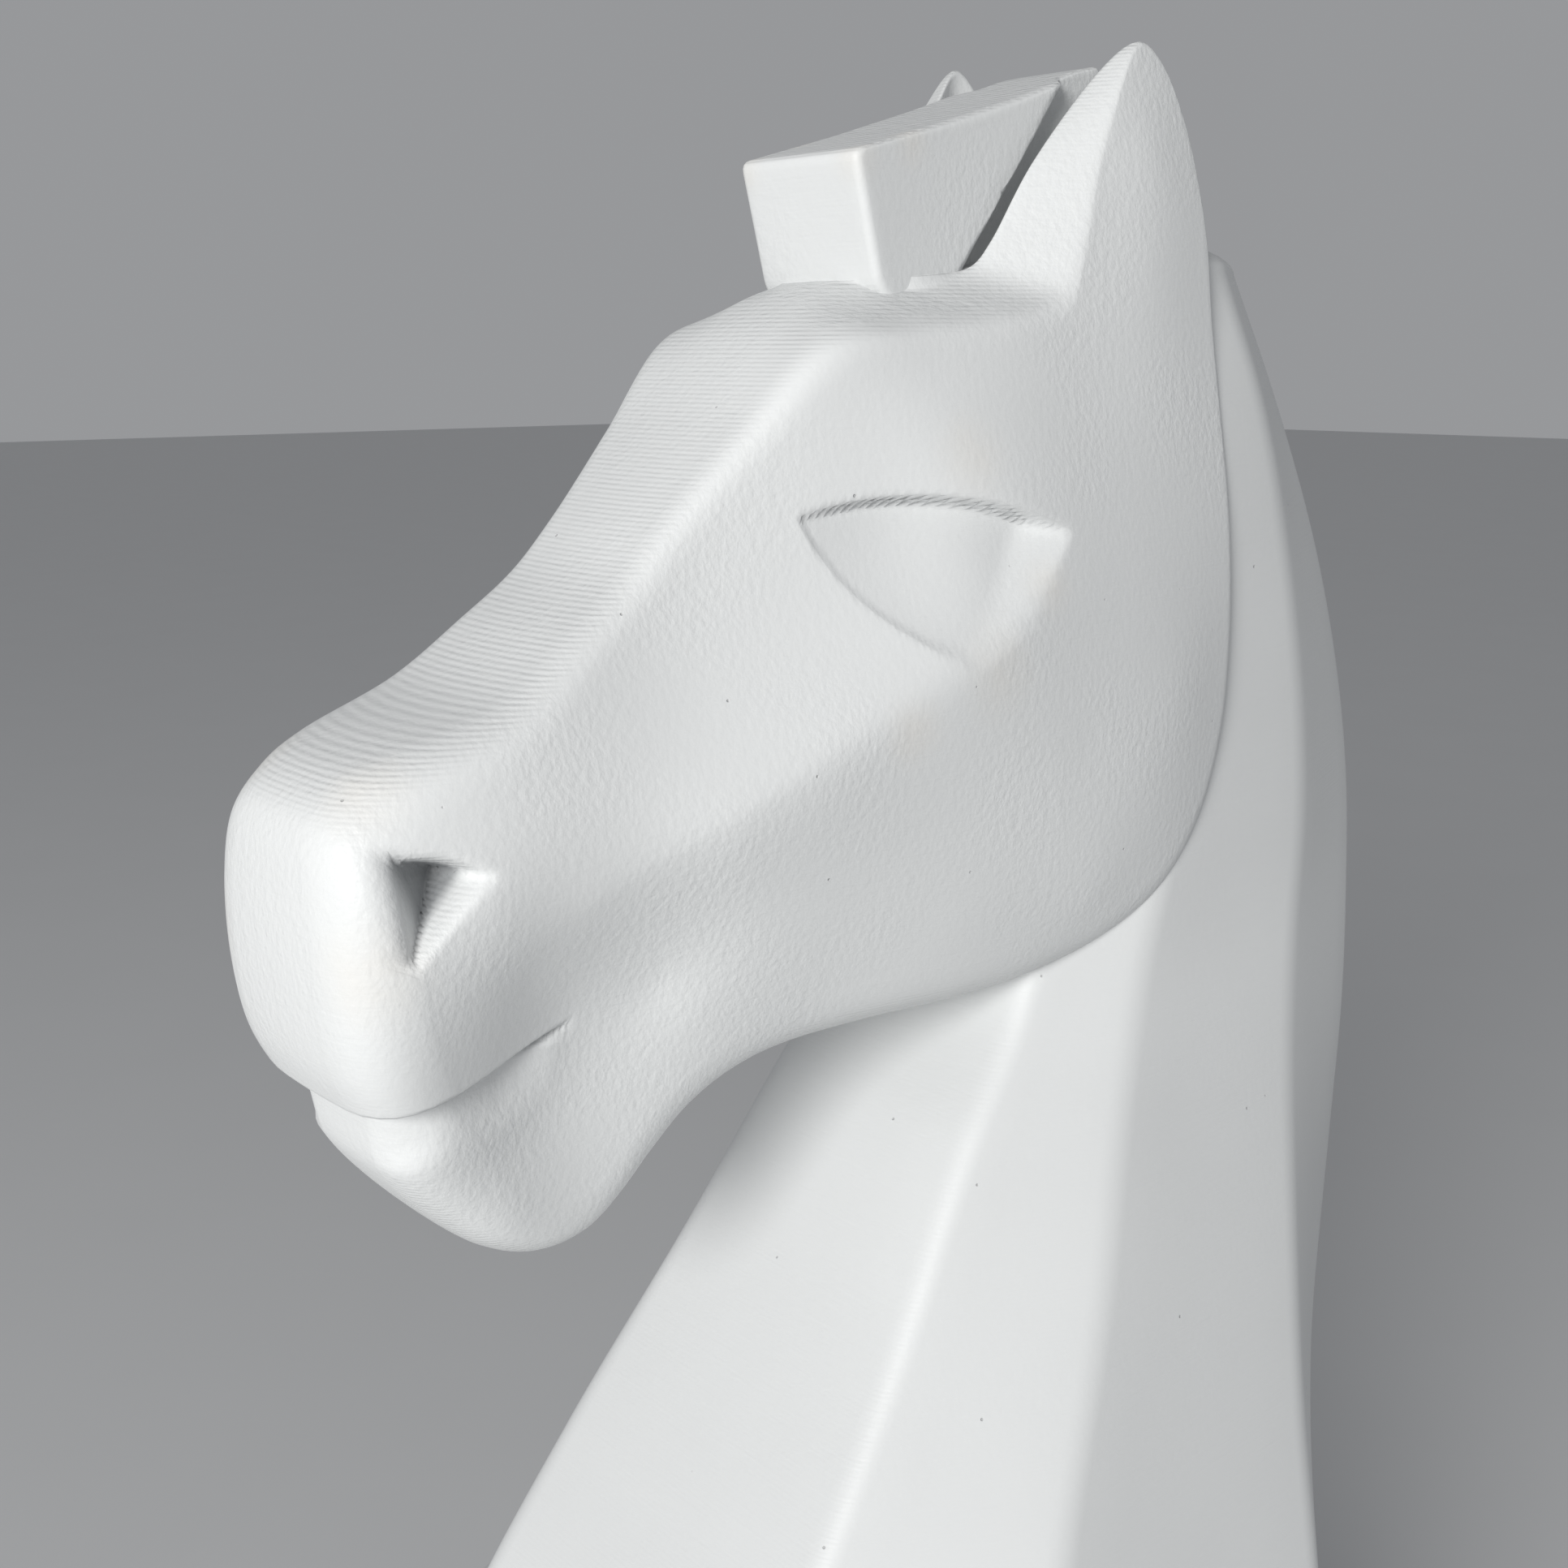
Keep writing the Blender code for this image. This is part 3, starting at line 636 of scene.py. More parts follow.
@dataclass
class Turned:
    """Piece turned round Z from a (radius, height) profile."""

    name: str
    profile: Sequence[Pair]
    round_by: float = 0.4
    count: int = 256
    sharp: float = 40.0

    def build(self) -> bpy.types.Object:
        """Turn the profile, its corners rounded.

        Returns:
            The piece.
        """
        line = rounded_ring(np.array(self.profile, float), self.round_by, 5)
        radius, height = np.maximum(line[:, 0], 0.0)[:, None], line[:, 1][:, None]
        angle = np.linspace(0.0, 2 * np.pi, self.count, endpoint=False)[None, :]
        a, b = radius * np.cos(angle), radius * np.sin(angle)
        grid = np.stack([a, b, np.broadcast_to(height, a.shape)], -1)
        closed = np.concatenate([grid, grid[:1]]).reshape(-1, 3)
        return make_piece(self.name, closed, ring_faces(len(line) + 1, self.count), self.sharp)


# --------------------------------------------------------------------------- head


@dataclass(frozen=True)
class Rim:
    """One station round the head's side view: its long edge, and what lies between it and the middle."""

    edge: Pair
    soft: float
    centre: Optional[Pair] = None
    inner: Optional[Triple] = None


@dataclass(frozen=True)
class ArcEdge:
    """Edge of a recess: the arc through two points that bulges out by a sagitta."""

    first: Pair
    last: Pair
    sagitta: float

    def inside(self, y: Array, z: Array) -> Array:
        """Distance inside the arc: its radius less the distance from its centre.

        Args:
            y: Places in side view.
            z: Places in side view.

        Returns:
            Distance in millimetres, negative outside.
        """
        a, b = np.array(self.first), np.array(self.last)
        chord = np.hypot(*(b - a))
        radius = (chord**2 / 4 + self.sagitta**2) / (2 * self.sagitta)
        normal = np.array([b[1] - a[1], a[0] - b[0]]) / chord
        centre = (a + b) / 2 - normal * (radius - self.sagitta)
        return radius - np.hypot(y - centre[0], z - centre[1])


@dataclass
class Head:
    """Head with its ears.

    A rim runs round the side view, and two domed sides meet on a core line. Each width is (y, z, half
    width). The crease runs from the eye's lower corner to the muzzle. The eye's three edges are arcs.
    """

    rims: tuple[Rim, ...] = (
        Rim((-25.6, 274.9), 3.6, (-26.0, 276.4)), Rim((-35.7, 265.1), 3.4), Rim((-45.5, 255.2), 3.2),
        Rim((-51.6, 249.1), 3.2), Rim((-58.1, 244.3), 3.4), Rim((-67.2, 238.1), 3.8),
        Rim((-78.8, 234.1), 5.2), Rim((-84.4, 231.4), 6.2), Rim((-87.9, 227.0), 6.6),
        Rim((-88.8, 219.6), 6.8), Rim((-88.6, 210.5), 7.6), Rim((-87.4, 202.6), 8.0),
        Rim((-84.5, 196.0), 8.0), Rim((-80.2, 187.7), 8.0), Rim((-74.2, 180.6), 7.6),
        Rim((-67.9, 175.2), 6.0), Rim((-61.2, 172.4), 6.0), Rim((-55.2, 173.0), 6.0),
        Rim((-51.0, 176.2), 6.0), Rim((-46.6, 181.1), 6.0), Rim((-41.9, 185.6), 6.0),
        Rim((-35.9, 188.6), 6.4), Rim((-27.6, 190.2), 7.0), Rim((-14.6, 191.0), 7.4),
        Rim((-2.0, 191.1), 7.4), Rim((9.0, 191.8), 7.0), Rim((19.0, 194.6), 6.0), Rim((28.0, 200.4), 4.6),
        Rim((34.6, 209.8), 3.2), Rim((38.2, 221.0), 2.2), Rim((39.6, 235.0), 1.8),
        Rim((39.6, 250.0), 1.6), Rim((38.8, 266.0), 1.6), Rim((38.2, 278.0), 1.6, (37.6, 276.0)),
        Rim((37.8, 288.0), 1.4, (36.0, 281.4), (11.6, 34.6, 285.0)),
        Rim((36.5, 295.6), 1.3, (34.6, 283.0), (11.9, 34.2, 295.6)),
        Rim((34.4, 303.6), 1.2, (32.0, 284.0), (12.7, 31.8, 304.0)),
        Rim((31.2, 309.3), 1.0, (27.0, 284.4), (13.9, 29.0, 309.2)),
        Rim((27.0, 311.4), 0.9, (22.0, 284.6), (14.6, 26.0, 311.0)),
        Rim((22.6, 306.6), 1.1, (16.0, 284.6), (12.9, 20.6, 306.2)),
        Rim((17.0, 296.2), 1.3, (9.0, 284.2), (12.0, 11.4, 296.2)),
        Rim((12.8, 286.2), 1.6, (4.4, 283.8), (11.7, 4.8, 287.0)),
        Rim((8.8, 279.6), 2.2, (-0.6, 282.8), (11.4, 0.6, 282.8)),
        Rim((-2.0, 277.4), 3.0, (-8.5, 282.0), (10.8, -7.0, 280.6)),
        Rim((-14.0, 276.4), 3.2, (-17.8, 281.0)),
    )
    widths: tuple[Triple, ...] = (
        (-25.2, 274.6, 17.2), (-35.4, 264.8, 15.6), (-45.1, 254.9, 14.4), (-51.2, 248.7, 14.6),
        (-62.0, 241.0, 15.0), (-72.6, 236.4, 14.4), (-80.6, 233.2, 13.4), (-85.2, 230.6, 12.6),
        (-88.2, 225.0, 13.8), (-88.2, 217.0, 15.4), (-87.0, 209.0, 16.4), (-85.2, 198.0, 15.6),
        (-73.0, 219.0, 17.8), (-73.0, 201.0, 13.6), (-60.9, 217.4, 17.8), (-62.0, 203.0, 11.4),
        (-67.0, 209.0, 14.2), (-79.0, 209.0, 16.2), (-50.0, 204.0, 13.0), (-79.0, 187.0, 11.8),
        (-67.0, 181.0, 9.4), (-60.0, 174.0, 8.0), (-50.0, 185.0, 10.4), (-64.0, 191.0, 9.8),
        (-44.7, 221.9, 21.8), (-45.0, 200.0, 14.0), (-34.0, 226.9, 24.2), (-30.0, 203.0, 18.0),
        (-28.0, 192.0, 14.0), (-22.7, 232.0, 25.8), (-12.2, 238.1, 27.2), (-10.0, 206.0, 23.0),
        (-8.0, 191.0, 17.6), (-28.0, 256.0, 20.6), (-12.0, 258.0, 23.8), (4.0, 252.0, 26.0),
        (-12.0, 276.0, 18.6), (0.0, 278.0, 20.0), (12.0, 268.0, 22.8), (8.0, 226.0, 27.8),
        (12.0, 204.0, 25.2), (14.0, 193.0, 20.6), (28.0, 203.0, 25.4), (25.0, 230.0, 28.2),
        (39.0, 235.0, 26.4), (37.4, 218.0, 26.4), (39.0, 255.0, 24.8), (38.2, 278.0, 21.4),
        (24.0, 284.0, 21.4), (10.3, 279.5, 20.6), (17.1, 296.1, 18.2), (26.6, 311.0, 16.2),
        (33.6, 303.2, 17.8), (36.6, 290.0, 20.0), (26.0, 298.0, 19.2),
    )
    core: tuple[Pair, Pair] = ((-59.5, 204.0), (12.0, 238.0))
    crease: tuple[Pair, Pair] = ((-10.0, 239.0), (-62.0, 216.4))
    crease_drop: Pair = (0.12, 0.52)
    crown: float = 0.7
    stiffness: float = 3.0
    columns: int = 560
    finer: tuple[tuple[Pair, float, float], ...] = (
        ((-86.4, 199.0), 3.0, 2.6), ((-89.0, 219.0), 8.0, 1.0), ((-30.0, 272.0), 9.0, 0.9),
    )
    side_rows: int = 50
    core_stops: int = 56
    eye_floor: float = 3.3
    nostril_floor: float = 9.0
    mouth_top: float = 215.0
    # Box in which the head's finish paints shade into the nostril.
    nostril_box: tuple[Triple, Triple] = ((2.0, -84.0, 209.0), (14.8, -71.0, 227.0))
    nostril_undercut: float = 0.30
    eye_top: ArcEdge = ArcEdge((4.9, 252.2), (-31.4, 255.4), 3.5)
    eye_front: ArcEdge = ArcEdge((-31.4, 255.4), (-14.6, 238.4), 2.2)
    eye_rear: ArcEdge = ArcEdge((-10.6, 238.8), (4.9, 252.2), 0.9)
    warm: tuple[tuple[Triple, float], ...] = WARM_HEAD

    def line_of(self, pair: tuple[Pair, Pair], y: Array, z: Array) -> tuple[Array, Array, float]:
        """Measure places against a line.

        Args:
            pair: The line's two ends.
            y: Places in side view.
            z: Places in side view.

        Returns:
            Distances along and across the line, and its length.
        """
        a, b = np.array(pair[0]), np.array(pair[1])
        length = float(np.hypot(*(b - a)))
        u = (b - a) / length
        return (y - a[0]) * u[0] + (z - a[1]) * u[1], (z - a[1]) * u[0] - (y - a[0]) * u[1], length

    def width(self, y: Array, z: Array) -> Array:
        """Half width: a plate through the named widths, less a drop away from the crease on both sides.

        Args:
            y: Places in side view.
            z: Places in side view.

        Returns:
            Half width in millimetres.
        """
        along, across, length = self.line_of(self.crease, y, z)
        window = 1.0 / (1.0 + np.exp(-(along + 2.0) / 4.0)) / (1.0 + np.exp((along - length + 12.0) / 8.0))
        near = np.sqrt(across**2 + 4.0) - 2.0
        drop = np.where(across > 0.0, self.crease_drop[0], self.crease_drop[1])
        return self.plate(y, z) - drop * near * np.exp(-((across / 22.0) ** 2)) * window

    def eye_depth(self, y: Array, z: Array) -> Array:
        """Depth of the eye: the soft least of three slopes that fall away from its three edges.

        Args:
            y: Places in side view.
            z: Places in side view.

        Returns:
            Depth in millimetres, zero outside.
        """
        top, front, rear = (edge.inside(y, z) for edge in (self.eye_top, self.eye_front, self.eye_rear))
        front_wall = 0.30 * ramp(front, 0.0, 0.45) + 0.20 * front
        rear_wall = 0.62 * rear
        floor = smooth_least([front_wall, rear_wall, np.full_like(front, self.eye_floor)], 0.25)
        lid = 3.0 * top
        ball = 0.5 * np.exp(-(((y + 11.0) / 8.0) ** 2 + ((z - 250.0) / 6.5) ** 2))
        depth = smooth_least([floor, lid], 0.10) - ball * ramp(floor, 0.4, 1.6)
        return np.where((top > 0) & (front > 0) & (rear > 0), np.maximum(depth, 0.0), 0.0)

    def nostril_depth(self, y: Array, z: Array) -> Array:
        """Depth of the nostril: a rounded funnel with a gentle front wall and steep top and rear walls.

        Args:
            y: Places in side view.
            z: Places in side view.

        Returns:
            Depth in millimetres.
        """
        rear = (z - 210.6 - 0.76 * (y + 84.4)) / math.hypot(1.0, 0.72)
        inner = (0.92 * (z - 211.4) - (y + 84.6)) / math.hypot(1.0, 0.952)
        top = 226.4 - z - 0.75 * soft_above(y + 77.0, 3.0)
        front = y + 83.8 - 0.12 * (220.0 - z)
        rear_wall = 0.5 * soft_above(rear, 1.6) + 3.6 * soft_above(inner, 0.5)
        top_wall = 0.5 * soft_above(top, 1.6) + 3.0 * soft_above(top - 2.2, 0.6)
        front_wall = 1.3 * soft_above(front, 1.6)
        depth = smooth_least([rear_wall, top_wall, front_wall, np.full_like(rear, self.nostril_floor)], 0.25)
        return np.maximum(depth, 0.0)

    def mouth_line(self, y: Array) -> Array:
        """Height of the mouth, falling forwards in a slight curve."""
        t = (y + 84.0) / 22.5
        return 197.5 + 2.6 * t + 1.4 * t * np.abs(t)

    def mouth_depth(self, y: Array, z: Array) -> Array:
        """Depth below the upper lip: a narrow groove and a lower lip set back, fading at the corner.

        Args:
            y: Places in side view.
            z: Places in side view.

        Returns:
            Depth in millimetres.
        """
        below = self.mouth_line(y) - z
        reach = 1.0 - ramp(y, -70.0, -61.5)
        groove = 1.5 * np.exp(-(((below - 0.45) / 0.40) ** 2))
        lip = 2.0 * ramp(below, 0.0, 0.5) * (1.0 - ramp(below, 0.5, 9.0))
        return (groove + lip * reach) * (1.0 - ramp(y, -64.0, -59.0))

    def drawn_to_edges(self, y: Array, z: Array, strength: Array) -> tuple[Array, Array]:
        """Draw grid points near a sharp edge onto it, so that the edge runs clean across the grid.

        A point moves down the slope of its distance g to the edge by g exp(-(g / h)^2).

        Args:
            y: Places in side view.
            z: Places in side view.
            strength: How far each point follows, 0 to 1.

        Returns:
            The moved places.
        """
        def eye(a: Array, b: Array) -> Array:
            """Distance inside the eye's nearest edge."""
            return np.minimum.reduce([e.inside(a, b) for e in (self.eye_top, self.eye_front, self.eye_rear)])

        def mouth(a: Array, b: Array) -> Array:
            """Distance above the mouth."""
            return b - self.mouth_line(a)

        for distance, reach in ((eye, 0.55), (mouth, 0.5), (eye, 0.4)):
            g = distance(y, z)
            gy = (distance(y + 0.01, z) - g) / 0.01
            gz = (distance(y, z + 0.01) - g) / 0.01
            fade = 1.0 if distance is eye else 1.0 - ramp(y, -64.0, -60.0)
            pull = g * np.exp(-((g / reach) ** 2)) * 0.85 * fade * strength
            y, z = y - pull * gy, z - pull * gz
        return y, z

    def stations(self) -> tuple[Array, Array, Array, Array]:
        """Edge, centre and inner corner of the rim at each column.

        The named stations are joined by closed curves, and the columns stand closer at the mouth,
        the nostril and the eye.

        Returns:
            Edge (y, z), centre (y, z), inner corner (x, y, z) and softness of each column.
        """
        edge = np.array([r.edge for r in self.rims])
        along = np.roll(edge, -1, 0) - np.roll(edge, 1, 0)
        out = np.stack([along[:, 1], -along[:, 0]], 1) / np.hypot(*along.T)[:, None]
        out *= np.sign(((edge - edge.mean(0)) * out).sum())
        centre = np.array([r.centre or tuple(e + o * self.crown) for r, e, o in zip(self.rims, edge, out)])
        half = self.width(edge[:, 0], edge[:, 1])
        plain = np.column_stack([0.34 * half, centre + 0.12 * (edge - centre)])
        inner = np.array([r.inner or tuple(p) for r, p in zip(self.rims, plain)])
        soft = np.array([r.soft for r in self.rims])
        ear = np.array([r.inner is not None for r in self.rims], float)
        base_x = np.where(ear > 0, inner[:, 0] - 0.8, 0.17 * half)
        base = np.column_stack([base_x, centre + 0.03 * (1 - ear)[:, None] * (edge - centre)])
        table = np.column_stack([edge, centre, inner, soft, base])
        fine = np.linspace(0.0, len(table), 6000, endpoint=False)
        curve = closed_curve(table, fine)
        step = np.hypot(*(np.roll(curve[:, :2], -1, 0) - curve[:, :2]).T)
        weight = np.ones(len(fine))
        for place, sigma, more in self.finer:
            weight += more * np.exp(-(np.hypot(*(curve[:, :2] - place).T) / sigma) ** 2)
        total = np.concatenate([[0.0], np.cumsum(step * weight)])
        want = np.linspace(0.0, total[-1], self.columns, endpoint=False)
        places = np.interp(want, total, np.append(fine, len(table)))
        at = closed_curve(table, places)
        return at[:, 0:2], at[:, 2:4], np.column_stack([at[:, 4:7], at[:, 8:11]]), at[:, 7]

    def half_grid(self) -> Array:
        """Rows of the left half, from the middle of the rim over its edge to the core line.

        Returns:
            (rows, columns, 3) points in millimetres.
        """
        edge, centre, inner, soft = self.stations()
        base, corner = inner[:, 3:6], inner[:, 0:3]
        middle = np.column_stack([np.zeros(len(edge)), centre])
        rim = np.column_stack([self.width(*edge.T), edge])
        a, b = np.array(self.core[0]), np.array(self.core[1])
        share = np.clip(((edge - a) @ (b - a)) / ((b - a) @ (b - a)), 0.0, 1.0)
        reach = np.hypot(*(a + share[:, None] * (b - a) - edge).T)
        start = soft / reach

        def side(f: Array, snapped: bool = False) -> Array:
            """Points of the side at a share of the way from the edge to the core line."""
            stop = np.round(share * self.core_stops) / self.core_stops if snapped else share
            q = edge + (a + stop[:, None] * (b - a) - edge) * f[:, None]
            y, z = q.T if snapped else self.drawn_to_edges(*q.T, ramp(f - start, 0.0, 0.1))
            return np.column_stack([self.width(y, z), y, z])

        def toward(p: Array, q: Array, size: Array) -> Array:
            """Point at a distance from p towards q."""
            d = q - p
            length = np.linalg.norm(d, axis=1)
            return p + d * (np.minimum(size, 0.85 * length) / length)[:, None]

        def bend(p: Array, q: Array, r: Array, f: float) -> Array:
            """Quadratic curve from p to r, bent towards q."""
            return (1 - f) ** 2 * p + 2 * f * (1 - f) * q + f**2 * r

        inner_soft = np.full(len(edge), 0.8)
        before, after = toward(corner, base, inner_soft), toward(corner, rim, inner_soft)
        rim_in, rim_out = toward(rim, corner, soft), side(start)
        rows = [middle + (base - middle) * f for f in np.linspace(0.0, 1.0, 5)]
        rows += [base + (before - base) * f for f in np.linspace(0.0, 1.0, 7)[1:]]
        rows += [bend(before, corner, after, f) for f in (0.33, 0.67, 1.0)]
        rows += [after + (rim_in - after) * f for f in np.linspace(0.0, 1.0, 7)[1:]]
        rows += [bend(rim_in, rim, rim_out, f) for f in np.linspace(0.0, 1.0, 7)[1:]]
        f = np.linspace(0.0, 1.0, 400)
        density = 1.0 + 1.5 * ramp(f, 0.0, 0.06) * (1.0 - ramp(f, 0.62, 0.74))
        total = np.cumsum(density)
        total = (total - total[0]) / (total[-1] - total[0])
        shares = np.interp(np.linspace(0.0, 1.0, self.side_rows + 1)[1:], total, f)
        rows += [side(start + (1.0 - start) * s) for s in shares[:-1]]
        rows.append(side(np.ones(len(edge)), True))
        return np.stack(rows)

    def carve(self, grid: Array) -> Array:
        """Press the eye, nostril and mouth into the grid along its normals.

        Args:
            grid: Rows of the left half.

        Returns:
            The carved rows.
        """
        down = np.gradient(grid, axis=0)
        round_ = np.roll(grid, -1, 1) - np.roll(grid, 1, 1)
        normal = np.cross(down, round_)
        size = np.linalg.norm(normal, axis=-1, keepdims=True)
        normal = np.where(size > 1e-9, normal / np.maximum(size, 1e-9), np.array([1.0, 0.0, 0.0]))
        normal *= np.sign(np.median(normal[-10:, :, 0]))
        x, y, z = np.moveaxis(grid, -1, 0)
        normal[0, :, 0] = 0.0
        on_side = ramp(np.abs(normal[..., 0]), 0.25, 0.75)
        lip = self.mouth_depth(y, z)
        hole = self.nostril_depth(y, z) * on_side * (x > 6.0)
        deep = self.eye_depth(y, z) * on_side * (x > 6.0) + hole
        across, back = np.array([1.0, 0.0, 0.0]), np.array([0.0, 1.0, 0.0])
        undercut = self.nostril_undercut * soft_above(hole - 2.0, 0.5)
        carved = grid - normal * (lip * (z < self.mouth_top))[..., None]
        carved += back * undercut[..., None] - across * deep[..., None]
        front_lip = (1.0 - ramp(y, -80.0, -77.0)) * ramp(z, 190.0, 192.0)
        front_lip = front_lip * ramp(self.mouth_line(y) - z, 0.3, 1.1)
        for _ in range(4):
            between = 0.5 * (carved[:-2] + carved[2:])
            carved[1:-1] += (between - carved[1:-1]) * (0.8 * front_lip[1:-1])[..., None]
        return carved

    def build(self) -> bpy.types.Object:
        """Mirror the half, close it and dress it.

        Returns:
            The piece.
        """
        self.plate = plate_surface(self.widths, self.stiffness)
        half = self.carve(self.half_grid())
        other = half[1:][::-1] * np.array([-1.0, 1.0, 1.0])
        grid = np.concatenate([other, half])
        obj = make_piece("horse_head", grid.reshape(-1, 3), ring_faces(len(grid), self.columns))
        primed = PrimedPrint("primed_head", warm=self.warm, shade_box=self.nostril_box).material()
        dress(obj, Body.PIECE, Slot.WHITE, primed, "head_shell")
        return obj


# --------------------------------------------------------------------------- forelock


@dataclass
class Forelock:
    """Square block between the ears, its side view carried across with rounded long edges."""

    side: tuple[Pair, ...] = (
        (-17.2, 295.8), (-13.2, 281.0), (-11.2, 279.0), (2.0, 281.0), (20.0, 283.0), (30.0, 284.0),
        (31.0, 309.9), (26.0, 308.8), (12.0, 304.2), (-2.0, 300.0),
    )
    half: float = 10.3
    edge: float = 1.1
    step_line: tuple[Pair, Pair] = ((0.8, 283.0), (20.8, 308.5))
    step_in: float = 3.4
    warm: tuple[tuple[Triple, float], ...] = WARM_FORELOCK

    def build(self) -> bpy.types.Object:
        """Loft the rounded side view across X and close its ends.

        Near each end the outline shrinks by edge (1 - cos a) while X runs on by edge sin a, a quarter round.

        Returns:
            The piece.
        """
        ring = rounded_ring(np.array(self.side), 1.3, 5, 8)
        middle = ring.mean(0)
        away = ring - middle
        size = np.linalg.norm(away, axis=1, keepdims=True)
        angles = np.linspace(0.0, np.pi / 2, 6)
        flat = self.half - self.edge
        places = [(flat + self.edge * math.sin(a), self.edge * (1 - math.cos(a))) for a in angles]
        body = [(x, 0.0) for x in np.linspace(0.0, flat, 8)[:-1]]
        rows = [
            np.column_stack([np.full(len(ring), x), ring - away / size * less]) for x, less in body + places
        ]
        last = rows[-1]
        shares = np.linspace(1.0, 0.0, 26)[1:-1]
        rows += [np.column_stack([last[:, 0], middle + (last[:, 1:] - middle) * f]) for f in shares]
        half = np.stack(rows)
        a, b = np.array(self.step_line)
        u = (b - a) / np.hypot(*(b - a))
        behind = (half[..., 1] - a[0]) * u[1] - (half[..., 2] - a[1]) * u[0]
        half[..., 0] *= 1.0 - self.step_in / self.half * ramp(behind, 0.0, 1.6)
        grid = np.concatenate([half[1:][::-1] * np.array([-1.0, 1.0, 1.0]), half])
        end = float(half[-1, 0, 0])
        verts, faces = close_ends(grid, (-end, *middle), (end, *middle))
        obj = make_piece("horse_forelock", verts, faces)
        primed = PrimedPrint("primed_forelock", warm=self.warm).material()
        dress(obj, Body.PIECE, Slot.WHITE, primed, "forelock_block")
        return obj


# --------------------------------------------------------------------------- neck


@dataclass(frozen=True)
class NeckSection:
    """Eight-cornered section of the neck at one height."""

    height: float
    front: Pair
    shoulder: Pair
    flank: Pair
    back: Pair

    def row(self) -> tuple[float, ...]:
        """The section as one row of numbers."""
        return (self.height, *self.front, *self.shoulder, *self.flank, *self.back)


@dataclass
class Neck:
    """Faceted neck that grows out of the round collar; front and back corners are (half width, y)."""

    sections: tuple[NeckSection, ...] = (
        NeckSection(72.3, (27.3, -66.0), (61.0, -25.3), (61.0, 25.3), (27.3, 66.0)),
        NeckSection(84.0, (27.4, -64.0), (55.5, -22.0), (57.0, 33.0), (25.6, 72.0)),
        NeckSection(100.0, (27.0, -56.0), (49.0, -19.0), (50.0, 40.0), (23.4, 77.4)),
        NeckSection(124.0, (25.6, -38.5), (42.0, -9.0), (42.6, 44.6), (21.4, 81.8)),
        NeckSection(150.0, (22.2, -19.0), (34.5, 6.5), (35.4, 50.4), (20.0, 85.8)),
        NeckSection(172.0, (19.2, -4.0), (28.4, 17.0), (29.4, 56.0), (19.0, 88.6)),
        NeckSection(188.0, (17.4, 8.0), (25.0, 24.0), (26.8, 59.0), (18.0, 89.3)),
        NeckSection(209.0, (16.0, 14.0), (25.2, 29.0), (25.8, 60.6), (16.4, 88.9)),
        NeckSection(242.0, (14.0, 16.0), (24.4, 30.0), (24.2, 56.0), (14.2, 80.2)),
        NeckSection(268.0, (12.0, 18.0), (22.4, 30.0), (21.8, 49.4), (12.2, 67.4)),
        NeckSection(284.0, (10.0, 20.0), (18.2, 30.0), (17.8, 45.0), (10.4, 58.6)),
    )
    facet_round: float = 2.8
    foot_round: float = 18.0
    crown: float = 5.6

    def rings(self, heights: Array) -> Array:
        """Sections between the named ones.

        Each number runs through the named heights as a cubic whose slopes are those of its neighbours,
        and the corners grow rounder towards the collar.

        Args:
            heights: Heights wanted.

        Returns:
            (heights, points, 3) rings.
        """
        table = np.array([s.row() for s in self.sections])
        slopes = np.gradient(table[:, 1:], table[:, 0], axis=0)
        i = np.clip(np.searchsorted(table[:, 0], heights) - 1, 0, len(table) - 2)
        span = (table[i + 1, 0] - table[i, 0])[:, None]
        t = np.clip((heights[:, None] - table[i, :1]) / span, 0.0, 1.0)
        v = (
            (2 * t**3 - 3 * t**2 + 1) * table[i, 1:] + (t**3 - 2 * t**2 + t) * span * slopes[i]
            + (3 * t**2 - 2 * t**3) * table[i + 1, 1:] + (t**3 - t**2) * span * slopes[i + 1]
        )
        left = v.reshape(-1, 4, 2)
        right = left[:, ::-1] * np.array([-1.0, 1.0])
        corners = np.concatenate([left, right], 1)
        low = np.clip((88.0 - heights) / 16.0, 0.0, 1.0)
        rings = np.stack([
            rounded_ring(c, self.facet_round + self.foot_round * w, 7, 5) for c, w in zip(corners, low)
        ])
        return np.concatenate([rings, np.broadcast_to(heights[:, None, None], (*rings.shape[:2], 1))], -1)

    def build(self) -> bpy.types.Object:
        """Loft the rings from the collar to the low crown behind the ears.

        Returns:
            The piece.
        """
        heights = np.concatenate([np.linspace(72.3, 124.0, 60), np.linspace(125.0, 284.0, 150)])
        rings = self.rings(heights)
        top = rings[-1]
        middle = top.mean(0)
        angle = np.linspace(0.0, np.pi / 2, 14)[1:-1, None, None]
        crown = middle + (top - middle) * np.cos(angle)
        crown[..., 2] = top[0, 2] + self.crown * np.sin(angle[..., 0])
        grid = np.concatenate([rings, crown])
        verts, faces = close_ends(grid, rings[0].mean(0), middle + [0.0, 0.0, self.crown])
        obj = make_piece("horse_neck", verts, faces)
        primed = PrimedPrint("primed_neck", terrace_depth=0.012, peel_depth=0.006).material()
        dress(obj, Body.PIECE, Slot.WHITE, primed, "neck_shell")
        return obj


# --------------------------------------------------------------------------- pedestal


